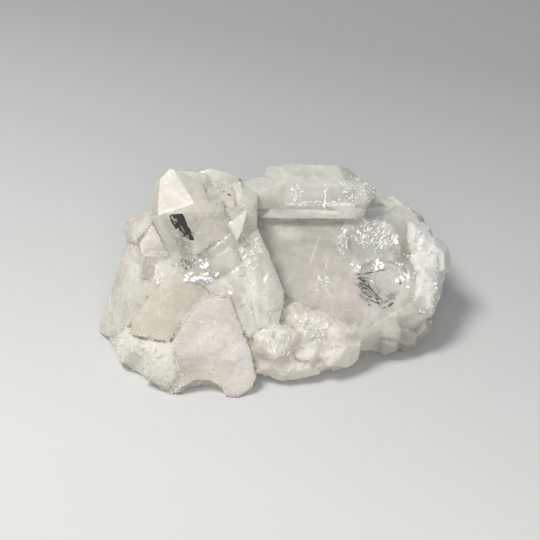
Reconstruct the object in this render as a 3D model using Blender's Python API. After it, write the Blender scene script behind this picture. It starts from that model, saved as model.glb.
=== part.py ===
"""A hand-sized quartz cluster: clear and milky crystals grown together on a rough quartz base.

Lengths are in millimetres until the finished mesh is scaled to metres. +Z is up, -Y is the front,
and the origin is on the resting face, below the middle of the cluster. Every crystal, block and
rock below is a closed convex solid, and all of them are joined in one.
"""

import math
import random
from dataclasses import dataclass

import bmesh
import bpy
from mathutils import Matrix, Vector

MM = 0.001
FRONT = Vector((0, -1, 0))

# A quartz prism has six sides, and each end face's normal stands this far from the long axis.
SIDES = 6
END_FACE_ANGLE = math.radians(51.8)

# Everything below this height is cut away, which leaves the flat lands that it rests on.
REST_Z = 0.0


@dataclass(frozen=True)
class Crystal:
    """A six-sided quartz prism with a six-faced point.

    tip is where the long axis leaves the point, axis points out of the tip, and roll turns the
    sides about it. flats are the distances from the axis to the six sides, and setbacks say how
    far below the tip each end face crosses the axis. An empty setbacks leaves the end to cuts,
    which are further faces, as (point, normal).
    """

    tip: tuple
    axis: tuple
    roll: float
    flats: tuple
    length: float
    setbacks: tuple = (0, 0, 0, 0, 0, 0)
    cuts: tuple = ()


@dataclass(frozen=True)
class Rock:
    """A rough lump of milky quartz: an ellipsoid cut by flat broken faces."""

    centre: tuple
    radii: tuple
    turn: float
    faces: int
    seed: int


@dataclass(frozen=True)
class Grains:
    """Small crystals standing on one side of a rock. facing is the middle of that side."""

    rock: str
    facing: tuple
    spread: float
    count: int
    size: tuple
    seed: int


# The long axis of the upright crystal at the top left.
TIP = (-24.3, 6.5, 43.2)
TIP_AXIS = (-0.39, 0.33, 0.86)
TIP_ROLL = -27

CRYSTALS = {
    # the upright crystal at the top left: a prism with a step, and a pale point behind the step
    "tip_prism": Crystal(
        tip=TIP, axis=TIP_AXIS, roll=TIP_ROLL, flats=(8.5, 8.7, 8.7, 8.7, 8.7, 8.7), length=30,
        setbacks=(), cuts=(
            ((-20.9, -6.3, 37.7), (-0.31, 0.27, 0.91)),
            ((-20.9, -6.3, 37.7), (0.2, -0.01, 0.98)),
            ((-17.1, -9.7, 28.4), (0.50, -0.30, -0.81)),
        ),
    ),
    "tip_point": Crystal(
        tip=TIP, axis=TIP_AXIS, roll=TIP_ROLL, flats=(8.3, 8.5, 8.5, 8.5, 8.5, 8.5), length=20,
        setbacks=(), cuts=(
            ((-27.3, -2.5, 34.4), (-0.187, -0.559, 0.807)),
            ((-18.2, -1.5, 37.2), (0.317, -0.277, 0.907)),
            ((-27.3, -2.5, 34.4), (-0.86, -0.13, 0.49)),
            ((-23.5, 6.6, 41.5), (0.373, 0.75, 0.55)),
            ((-14.8, 0.1, 36.5), (0.9, 0.2, 0.38)),
            ((-24.7, 7.0, 41.5), (-0.3, 0.5, 0.79)),
        ),
    ),
    # the crystal lying along the top, broken at both ends
    "lying": Crystal(
        tip=(27.4, 15.0, 28.8), axis=(1, 0.03, -0.06), roll=-24,
        flats=(5.6, 6.3, 5.6, 6, 6, 5.2), length=34,
        cuts=(
            ((20, 15, 33.6), (0.5, 0.05, 0.86)), ((22, 8.5, 30), (0.6, -0.7, 0.2)),
            ((-2, 14, 32), (-0.9, 0.1, 0.42)), ((1.2, 17, 34.4), (-0.3, 0, 0.95)),
        ),
    ),
    # points that show from behind and from the sides
    "back_point": Crystal(
        tip=(9, 27, 22), axis=(0.15, 0.75, 0.64), roll=12,
        flats=(4.5, 4.2, 4.8, 4.5, 4.2, 4.6), length=20,
    ),
    "back_small": Crystal(
        tip=(-4, 26, 25), axis=(-0.25, 0.6, 0.75), roll=-5,
        flats=(3.2, 3.4, 3.2, 3, 3.2, 3.4), length=18,
    ),
    "back_low": Crystal(
        tip=(-17, 25.5, 15), axis=(-0.35, 0.85, 0.4), roll=20,
        flats=(4.2, 4, 4.4, 4, 4.2, 4), length=18, setbacks=(0, 1, 0, 0, 0.5, 0),
    ),
    "back_right": Crystal(
        tip=(27, 24.5, 17), axis=(0.4, 0.8, 0.45), roll=0,
        flats=(3.4, 3.8, 3.4, 3.6, 3.4, 3.8), length=16,
    ),
}

# Broken blocks with flat faces, each as the corners of its hull.
BLOCKS = {
    "knob": (
        (-36.9, 3.2, 26.4), (-35.1, 5.5, 27.9), (-29.9, 6.6, 30.3), (-28.2, 3.2, 29.9),
        (-33, -1.6, 26.3), (-36, 1.5, 23), (-33, -1.6, 25.2),
        (-30, 10, 22), (-26, 4, 16), (-35, 6, 18), (-29, -2, 18),
    ),
    "left_slab": (
        (-36.2, 2.1, 22.8), (-33.2, -2.8, 23.2), (-39.8, -14, 5), (-43.8, -6.1, 3.2),
        (-44.3, -7.5, 0), (-41.6, -9.6, 0), (-26.5, -4.1, 23.3), (-27.3, -7.8, 18.3),
        (-31.9, -11.9, 12.6), (-36.2, -15, 8.1), (-30, 6, 22), (-38, 5, 5), (-28, 2, 4), (-30, -8, 0),
    ),
    "left_facets": (
        (-32.3, -2.2, 25.6), (-28.9, 1.4, 28.7), (-25.2, -5, 24.4), (-26.9, -5.3, 23.9),
        (-31.4, -4.8, 23.9), (-29.8, -8.4, 18.6), (-32.2, -7.9, 18.6), (-29, 4, 18),
        (-24, 0, 14), (-33, 0, 16), (-30, -6, 12),
    ),
    "beige": (
        (-23.2, -7.1, 22.3), (-34.2, -16.3, 12.7), (-34.1, -18.7, 9.9), (-24.6, -19.5, 8.3),
        (-23.1, -17.7, 10.2), (-19, -14.3, 13.8), (-16.3, -13.5, 14.5), (-16, -10.3, 18.1),
        (-20.7, -8.8, 20.1), (-30, -14, 6), (-20, -13, 7), (-16, -4, 13), (-24, -3, 14),
    ),
    "pink": (
        (-18.4, -18.1, 17.2), (-15.5, -16.2, 19.5), (-9.9, -15.7, 19.7), (-7.8, -18.7, 15.5),
        (-4.9, -23.4, 9.0), (-3.4, -27.3, 3.7), (-4.4, -28.6, 2.1), (-7.8, -30.3, 0),
        (-21.1, -29.8, 1.4), (-24.7, -29.0, 0), (-23.0, -22.5, 11.8), (-4.6, -27.5, 0),
        (-25, -12, 0), (-2, -14, 0), (-20, -8, 14), (-6, -8, 14),
    ),
    "middle": (
        (-3.3, -1.6, 30.5), (-7.5, -5.5, 27), (-2.2, -3.2, 27), (0, -5.6, 24.4), (3.5, -12.3, 18.3),
        (3.3, -15.2, 16.3), (1.9, -19.8, 13.1), (-3.1, -20.2, 13.4), (-3.5, -12.5, 20.9),
        (-6.2, -8.8, 24.4), (0, 0, 16), (-6, -2, 16), (0, -12, 5), (-4, -12, 5),
    ),
    "mid_face": (
        (-7.1, -7.2, 25.2), (-9.6, -8.1, 23.7), (-13.7, -8.6, 22.2), (-16.2, -11, 19.1),
        (-10, -13.7, 17.5), (-9, -14.9, 16.4), (-7.3, -18.3, 13.1), (-4.9, -20, 11.8),
        (-3, -19.5, 12.3), (-3.8, -12.8, 19.8), (-14, -2, 12), (-3, -4, 12), (-4, -14, 6), (-14, -8, 10),
    ),
    "mid_left": (
        (-13.3, -5.4, 24.5), (-9, -2.6, 26.7), (-7.6, -3.6, 25.6), (-7.2, -5.2, 23.8),
        (-9.7, -6.7, 22.8), (-13.9, -6.2, 23.6), (-16, 2, 16), (-6, 2, 16), (-18, -4, 20),
    ),
    "leaf": (
        (-10, -3, 31), (-5.5, -2.5, 35), (-6.8, -5, 31.5), (-8.4, -6.5, 29), (-6, 0, 26), (-9, -1, 24),
        (-5, -2, 30),
    ),
    "mid_back": (
        (-17.2, 8.6, 36.5), (-13.7, 9, 36.4), (-10.7, 8.4, 35.4), (-7.5, 9.6, 36.1),
        (-5.7, 5.6, 31.8), (-10, 2.2, 29.1), (-15.2, 5.2, 32.8), (-18, 12, 24), (-4, 12, 24),
        (-8, 0, 22),
    ),
    "lying_short": (
        (-9.4, 12.5, 33.7), (-7.4, 13.2, 34.1), (-2, 13.4, 34.6), (2.8, 13.6, 34.6), (3.6, 11.6, 33.5),
        (-2, 10.4, 32.8), (-7.6, 8.8, 32.1), (-9.6, 10.5, 33.3), (3.3, 9.8, 31.7), (-2, 8.9, 28.8),
        (-3.8, 8.4, 27.3), (-6.6, 8.6, 27.8), (-8, 16, 27), (2, 16, 27),
    ),
    # a pale crystal behind, broken off square
    "white": (
        (-17, 10.9, 37.7), (-15.6, 12.5, 38), (-13.9, 13.7, 37.7), (-11.1, 13.3, 36.4),
        (-9.1, 13.4, 35.4), (-7.5, 12.5, 34), (-9.6, 10.9, 34.1), (-11.9, 9.6, 34.6),
        (-14, 10, 36), (-18, 16, 24), (-6, 16, 24), (-12, 6, 22), (-12, 18, 33),
    ),
    # the large flat pale lilac face, which leans back
    "large": (
        (-3.8, 9.0, 24.9), (18.0, 9.5, 24.5), (20, 2, 22), (23.4, -16.7, 11.0), (18.5, -15.9, 11.6),
        (7.5, -11.0, 14.5), (3.2, -9.1, 15.5), (-3, -2, 19.3),
        (0, 20, 8), (30, 20, 8), (30, -5, 4), (0, -10, 4),
    ),
    "clear": (
        (18, 9.5, 25), (28.5, 18, 25), (34.3, 16.6, 23.6), (38.9, 13.5, 22.4), (41, 5, 18),
        (38, -7, 13.6), (35, -11, 13.5), (29, -13.4, 11.6), (23.4, -16.7, 11), (20, 2, 22),
        (20, 20, 8), (38, 15, 6), (38, -6, 6), (24, -10, 4), (26, 4, 24),
    ),
    # the pale ledge that runs from the bottom middle to the right, and its lower step
    "ledge": (
        (3.2, -14.3, 14.6), (7.4, -13, 15.2), (18.5, -15.6, 11.2), (28.6, -14.6, 10.6),
        (38.8, -10.6, 13.2), (38.8, -13.4, 10.2), (27.4, -15.8, 10), (21.6, -18.2, 7.6),
        (17, -20, 6), (7.4, -20.3, 7.9), (0, -20, 9),
        (39, -12, 3), (22, -16, 1), (4, -22, 0), (36, 0, 0), (2, -6, 0),
    ),
    "step": (
        (39.1, -12.3, 9), (41.6, -11, 6.5), (40.4, -13.4, 4.8), (33.6, -15.5, 2.6), (31.8, -14.8, 7.2),
        (28, -17.1, 2.4), (27.4, -15.2, 8.6), (38.6, -12.4, 1.4), (32, -14, 0), (22, -16, 0),
        (38, -2, 0), (26, -4, 0),
    ),
}

ROCKS = {
    "base": Rock((2, 3, 7), (37, 19, 10), 6, 40, 1),
    "base_left": Rock((-25, 0, 9), (15, 15, 11), -20, 34, 2),
    "base_back": Rock((-8, 15, 12), (16, 10, 13), 10, 34, 3),
    "base_back_right": Rock((18, 15, 11), (19, 10, 12), -8, 36, 4),
    "base_front": Rock((9, -12, 5), (16, 12, 7), -10, 32, 5),
    "lobe": Rock((-29.0, -18.8, 6.0), (9.2, 7.6, 6.0), 28, 30, 6),
    "lobe_low": Rock((-23.5, -24.5, 3.6), (7, 6, 5), 10, 26, 7),
    "nub_round": Rock((1.2, -20.6, 8.2), (5.6, 4.6, 5.6), 0, 34, 8),
    "nub_low": Rock((4.5, -21.9, 3.4), (8.5, 4.6, 3.8), 4, 28, 9),
    "sparkle": Rock((-16.5, -6.5, 20.5), (5.6, 5.6, 6.4), 0, 30, 17),
    "nub_mid": Rock((9.4, -18.2, 8.4), (4.6, 4.2, 4.6), 12, 26, 10),
    "nub_right": Rock((15.6, -19.6, 5.0), (6.0, 4.8, 5.0), -8, 26, 11),
    "rim_top": Rock((36.0, 9.0, 18.8), (5.6, 6.4, 5.2), 20, 30, 12),
    "rim_side": Rock((39.8, 2.4, 14.0), (5.4, 7.6, 6.8), -12, 34, 13),
    "rim_low": Rock((37.6, -6.6, 10.2), (4.4, 5.4, 5.0), 0, 28, 14),
    "rim_back": Rock((30, 15.5, 19), (10, 6, 6), -10, 28, 15),
    "lying_end": Rock((22.6, 12.8, 29.4), (4.2, 4.6, 4.0), 15, 26, 16),
}

GRAINS = (
    Grains("sparkle", (0, -0.6, 0.8), 60, 9, (0.9, 1.5), 20),
    Grains("lobe", (-0.3, -0.7, 0.6), 75, 26, (0.9, 1.7), 21),
    Grains("lobe_low", (0, -0.7, 0.7), 80, 18, (0.8, 1.4), 22),
    Grains("nub_round", (0.1, -0.7, 0.7), 60, 10, (0.9, 1.5), 23),
    Grains("nub_mid", (0, -0.7, 0.7), 60, 10, (0.8, 1.5), 24),
    Grains("rim_side", (0.8, -0.4, 0.4), 70, 16, (1.0, 1.8), 25),
    Grains("rim_top", (0.5, -0.3, 0.8), 60, 10, (1.0, 1.7), 26),
    Grains("base_back", (-0.2, 0.9, 0.5), 60, 14, (1.2, 2.4), 27),
    Grains("base_back_right", (0.2, 0.9, 0.5), 60, 14, (1.2, 2.4), 28),
)

# Hollows: the arch under the front crystal, the shell-shaped breaks on the right, and two shallow
# ones underneath, either side of the land at the origin.
HOLLOWS = {
    "arch": Rock((-16.8, -31.2, -1.0), (6.8, 5.0, 6.6), 6, 60, 31),
    "shell_upper": Rock((26.0, -4.6, 29.4), (14, 12, 12), 0, 90, 32),
    "shell_lower": Rock((30.4, -13.6, 24.0), (12, 12, 12), 0, 90, 33),
    "under_left": Rock((-15.5, 4, -3.0), (9.5, 9, 5.0), 8, 40, 34),
    "under_right": Rock((20, 5, -3.2), (13, 9, 5.4), -6, 40, 35),
}


def new_object(name, bm):
    """A mesh object made from bm, which is in millimetres."""
    bmesh.ops.scale(bm, vec=(MM, MM, MM), verts=bm.verts)
    mesh = bpy.data.meshes.new(name)
    bm.to_mesh(mesh)
    bm.free()
    obj = bpy.data.objects.new(name, mesh)
    bpy.context.scene.collection.objects.link(obj)
    return obj


def side_directions(axis, roll_degrees):
    """The outward normals of the six sides. The first one faces the front when roll is 0."""
    across = (FRONT - FRONT.dot(axis) * axis).normalized()
    return [Matrix.Rotation(math.radians(roll_degrees + 360 / SIDES * k), 3, axis) @ across
            for k in range(SIDES)]


def cut_off(bm, point, normal):
    """Removes what lies beyond the plane and closes the cut."""
    everything = bm.verts[:] + bm.edges[:] + bm.faces[:]
    bmesh.ops.bisect_plane(bm, geom=everything, dist=1e-5, plane_co=point, plane_no=normal,
                           clear_outer=True)
    bmesh.ops.remove_doubles(bm, verts=bm.verts, dist=0.005)
    bmesh.ops.holes_fill(bm, edges=[e for e in bm.edges if e.is_boundary], sides=0)


def crystal_mesh(crystal):
    """The crystal as a closed convex mesh, cut from a cube by its faces."""
    tip, axis = Vector(crystal.tip), Vector(crystal.axis).normalized()
    bm = bmesh.new()
    bmesh.ops.create_cube(bm, size=400, matrix=Matrix.Translation(tip))
    sides = side_directions(axis, crystal.roll)
    for side, flat in zip(sides, crystal.flats):
        cut_off(bm, tip + side * flat, side)
    for side, setback in zip(sides, crystal.setbacks):
        slope = axis * math.cos(END_FACE_ANGLE) + side * math.sin(END_FACE_ANGLE)
        cut_off(bm, tip - axis * setback, slope)
    cut_off(bm, tip - axis * crystal.length, -axis)
    for point, normal in crystal.cuts:
        cut_off(bm, Vector(point), Vector(normal).normalized())
    return bm


def block_mesh(corners):
    """The hull of the corners."""
    bm = bmesh.new()
    for corner in corners:
        bm.verts.new(corner)
    made = bmesh.ops.convex_hull(bm, input=bm.verts)
    inside = [v for v in made["geom_interior"] if isinstance(v, bmesh.types.BMVert)]
    bmesh.ops.delete(bm, geom=inside, context="VERTS")
    return bm


def even_directions(count, dice):
    """Directions spread evenly over a sphere, each one a little off its place."""
    golden = math.pi * (3 - math.sqrt(5))
    for k in range(count):
        z = 1 - (2 * k + 1) / count
        ring = math.sqrt(1 - z * z)
        even = Vector((ring * math.cos(golden * k), ring * math.sin(golden * k), z))
        nudge = Vector([dice.uniform(-1, 1) for _ in range(3)]) * 1.1 / math.sqrt(count)
        yield (even + nudge).normalized()


def rock_mesh(rock):
    """A ball cut by flat faces at uneven depths, then stretched to the rock's radii."""
    dice = random.Random(rock.seed)
    bm = bmesh.new()
    bmesh.ops.create_cube(bm, size=4)
    for direction in even_directions(rock.faces, dice):
        cut_off(bm, direction * dice.uniform(0.88, 1.0), direction)
    place = (Matrix.Translation(Vector(rock.centre))
             @ Matrix.Rotation(math.radians(rock.turn), 4, "Z")
             @ Matrix.Diagonal(Vector((*rock.radii, 1))))
    bmesh.ops.transform(bm, matrix=place, verts=bm.verts)
    return bm


def grain_crystals(grains):
    """The small crystals that stand on the rock, as Crystal values."""
    dice = random.Random(grains.seed)
    rock = ROCKS[grains.rock]
    turn = Matrix.Rotation(math.radians(rock.turn), 3, "Z")
    facing = Vector(grains.facing).normalized()
    within = math.cos(math.radians(grains.spread))
    made = 0
    while made < grains.count:
        out = Vector([dice.gauss(0, 1) for _ in range(3)]).normalized()
        if out.dot(facing) < within:
            continue
        made += 1
        local = turn.transposed() @ out
        reach = Vector([r * c for r, c in zip(rock.radii, local)]) * 0.95
        width = dice.uniform(*grains.size)
        lean = Vector([dice.uniform(-0.5, 0.5) for _ in range(3)])
        axis = (out + lean).normalized()
        root = Vector(rock.centre) + turn @ reach
        yield Crystal(tip=tuple(root + axis * width * dice.uniform(0.9, 1.5)), axis=tuple(axis),
                      roll=dice.uniform(0, 60), length=width * 3.4,
                      flats=tuple(width * dice.uniform(0.8, 1.1) for _ in range(SIDES)))


def helper_collection(name, objects):
    """Puts the objects in a collection of helpers, which aren't rendered."""
    group = bpy.data.collections.new(name)
    bpy.context.scene.collection.children.link(group)
    for obj in objects:
        bpy.context.scene.collection.objects.unlink(obj)
        group.objects.link(obj)
        obj.hide_render = True
        obj.display_type = "WIRE"
    return group


def add_boolean(obj, name, operation, group):
    """Joins or cuts obj with all of the group."""
    modifier = obj.modifiers.new(name, "BOOLEAN")
    modifier.operation = operation
    modifier.operand_type = "COLLECTION"
    modifier.collection = group
    modifier.solver = "EXACT"


def quartz_material():
    """Slightly milky quartz."""
    material = bpy.data.materials.new("milky_quartz")
    material.use_nodes = True
    shader = material.node_tree.nodes["Principled BSDF"]
    shader.inputs["Base Color"].default_value = (0.86, 0.84, 0.80, 1)
    shader.inputs["Roughness"].default_value = 0.25
    shader.inputs["IOR"].default_value = 1.544
    shader.inputs["Transmission Weight"].default_value = 0.6
    return material


def main():
    for obj in list(bpy.data.objects):
        bpy.data.objects.remove(obj)
    cluster = new_object("quartz_cluster", rock_mesh(ROCKS["base"]))
    grown = [new_object("rock_" + name, rock_mesh(rock)) for name, rock in ROCKS.items() if name != "base"]
    grown += [new_object(name, crystal_mesh(crystal)) for name, crystal in CRYSTALS.items()]
    grown += [new_object("block_" + name, block_mesh(corners)) for name, corners in BLOCKS.items()]
    for grains in GRAINS:
        grown += [new_object("grain", crystal_mesh(crystal)) for crystal in grain_crystals(grains)]
    removed = [new_object("hollow_" + name, rock_mesh(rock)) for name, rock in HOLLOWS.items()]
    below = bmesh.new()
    bmesh.ops.create_cube(below, size=200, matrix=Matrix.Translation((0, 0, REST_Z - 100)))
    removed.append(new_object("below_rest", below))
    add_boolean(cluster, "grown_together", "UNION", helper_collection("grown", grown))
    add_boolean(cluster, "broken_away", "DIFFERENCE", helper_collection("broken", removed))
    cluster.data.materials.append(quartz_material())


main()
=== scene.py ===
"""A hand-sized quartz cluster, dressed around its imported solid.

Lengths in the classes below are in millimetres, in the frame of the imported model: +Z up, -Y the
front, and the origin on the resting face. Each mesh is scaled to metres when its piece is made.
"""

import logging
import math
import random
from collections.abc import Callable, Iterator
from dataclasses import dataclass, field, replace
from enum import Enum

import bmesh
import bpy
import numpy as np
from mathutils import Matrix, Vector, noise
from mathutils.bvhtree import BVHTree

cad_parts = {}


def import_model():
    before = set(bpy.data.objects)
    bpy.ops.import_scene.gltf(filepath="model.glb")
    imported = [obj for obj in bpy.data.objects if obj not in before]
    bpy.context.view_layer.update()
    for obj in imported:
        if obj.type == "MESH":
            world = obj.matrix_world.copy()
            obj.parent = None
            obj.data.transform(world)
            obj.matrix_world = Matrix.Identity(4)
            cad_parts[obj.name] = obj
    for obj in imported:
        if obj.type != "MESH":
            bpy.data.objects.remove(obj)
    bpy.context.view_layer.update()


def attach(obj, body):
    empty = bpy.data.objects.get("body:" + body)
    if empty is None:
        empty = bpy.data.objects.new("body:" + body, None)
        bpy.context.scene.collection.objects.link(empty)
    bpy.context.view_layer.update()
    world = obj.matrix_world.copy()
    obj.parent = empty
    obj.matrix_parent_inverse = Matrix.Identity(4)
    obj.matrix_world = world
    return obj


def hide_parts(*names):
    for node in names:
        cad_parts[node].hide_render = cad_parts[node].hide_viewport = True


LOG = logging.getLogger("quartz_cluster")

MM = 0.001
NODE = "quartz_cluster"
BODY = "root"

Point = tuple[float, float, float]
Colour = tuple[float, float, float]
Plane = tuple[Point, Point]
Socket = bpy.types.NodeSocket
Tree = bpy.types.NodeTree
Mesh = bmesh.types.BMesh

ORIGIN = (0, 0, 0)
FRONT = Vector((0, -1, 0))

# A quartz prism has six sides, and the normal of an end face stands this far from its long axis.
SIDES = 6
END_FACE_ANGLE = math.radians(51.8)
QUARTZ_IOR = 1.544


# ---------------------------------------------------------------------------------------------
# Node trees


def place(tree: Tree, kind: str, inputs: dict | None = None, **settings: object) -> bpy.types.Node:
    """Adds a node to a tree.

    Args:
        tree: The tree that gets the node.
        kind: Blender's name for the node's type.
        inputs: Socket name or number to a plain value, or to the socket that feeds it.
        **settings: The node's own properties, such as operation.

    Returns:
        The new node.
    """
    node = tree.nodes.new(kind)
    for key, value in settings.items():
        setattr(node, key, value)
    for key, value in (inputs or {}).items():
        if isinstance(value, Socket):
            tree.links.new(value, node.inputs[key])
        else:
            node.inputs[key].default_value = value
    return node


def maths(tree: Tree, operation: str, *values: object) -> Socket:
    """Adds a Math node.

    Args:
        tree: The tree that gets the node.
        operation: The Math node's operation.
        *values: Numbers or sockets, in order.

    Returns:
        The node's output socket.
    """
    return place(tree, "ShaderNodeMath", dict(enumerate(values)), operation=operation).outputs[0]


def vector_maths(tree: Tree, operation: str, *values: object) -> bpy.types.Node:
    """Adds a Vector Math node.

    Args:
        tree: The tree that gets the node.
        operation: The node's operation.
        *values: Vectors or sockets, in order.

    Returns:
        The node.
    """
    return place(tree, "ShaderNodeVectorMath", dict(enumerate(values)), operation=operation)


def scaled(tree: Tree, vector: Socket, factor: Socket) -> Socket:
    """Scales a vector by a number."""
    inputs = {0: vector, "Scale": factor}
    return place(tree, "ShaderNodeVectorMath", inputs, operation="SCALE").outputs[0]


def ranged(tree: Tree, value: Socket, low: object, high: object, start: object = 0.0,
           end: object = 1.0, kind: str = "LINEAR") -> Socket:
    """Turns the range from low to high into the range from start to end, and stops there.

    Args:
        tree: The tree that gets the node.
        value: The socket to turn.
        low: The value that gives start, as a number or a socket.
        high: The value that gives end, as a number or a socket.
        start: The result at low.
        end: The result at high.
        kind: How the result goes from one to the other: LINEAR or SMOOTHSTEP.

    Returns:
        The result's socket.
    """
    inputs = {"Value": value, "From Min": low, "From Max": high, "To Min": start, "To Max": end}
    return place(tree, "ShaderNodeMapRange", inputs, interpolation_type=kind).outputs["Result"]


def stepped(tree: Tree, value: Socket, low: object, high: object) -> Socket:
    """Adds a smooth step from 0 at low to 1 at high."""
    return ranged(tree, value, low, high, kind="SMOOTHSTEP")


def noised(tree: Tree, at: Socket, scale: float, detail: float, rough: float = 0.5,
           distortion: float = 0.0, output: str = "Fac") -> Socket:
    """Adds a Noise Texture node.

    Args:
        tree: The tree that gets the node.
        at: The point on the object.
        scale: How many waves there are in a unit.
        detail: How many finer layers there are.
        rough: How strong each finer layer is.
        distortion: How far the waves are bent.
        output: Fac or Color.

    Returns:
        The output's socket.
    """
    inputs = {"Vector": at, "Scale": scale, "Detail": detail, "Roughness": rough,
              "Distortion": distortion}
    return place(tree, "ShaderNodeTexNoise", inputs).outputs[output]


def laid_over(tree: Tree, under: object, over: Colour, mask: Socket) -> Socket:
    """Lays one colour over another.

    Args:
        tree: The tree that gets the node.
        under: The colour below, as four numbers or a socket.
        over: The colour above.
        mask: Where the colour above shows.

    Returns:
        The mixed colour's socket.
    """
    inputs = {0: mask, 6: under, 7: (*over, 1)}
    return place(tree, "ShaderNodeMix", inputs, data_type="RGBA").outputs[2]


NUMBER, VECTOR = "NodeSocketFloat", "NodeSocketVector"

# Adds a group's nodes. It gets the group's tree and its input sockets by name, and returns the
# sockets to put out by name.
Fill = Callable[[Tree, dict], dict]

# The two sizes of flaws, as parts of the given one, and how far noise bends them.
FLAW_SCALES = (1.0, 2.3)
FLAW_BEND = (0.35, 0.35, 0.35)
# The values of soft noise between which healed cracks come in.
CRACK_STEP = (0.48, 0.62)
# How far noise goes past the share of streaks before a streak is full.
STREAK_EDGE = 0.07


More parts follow.
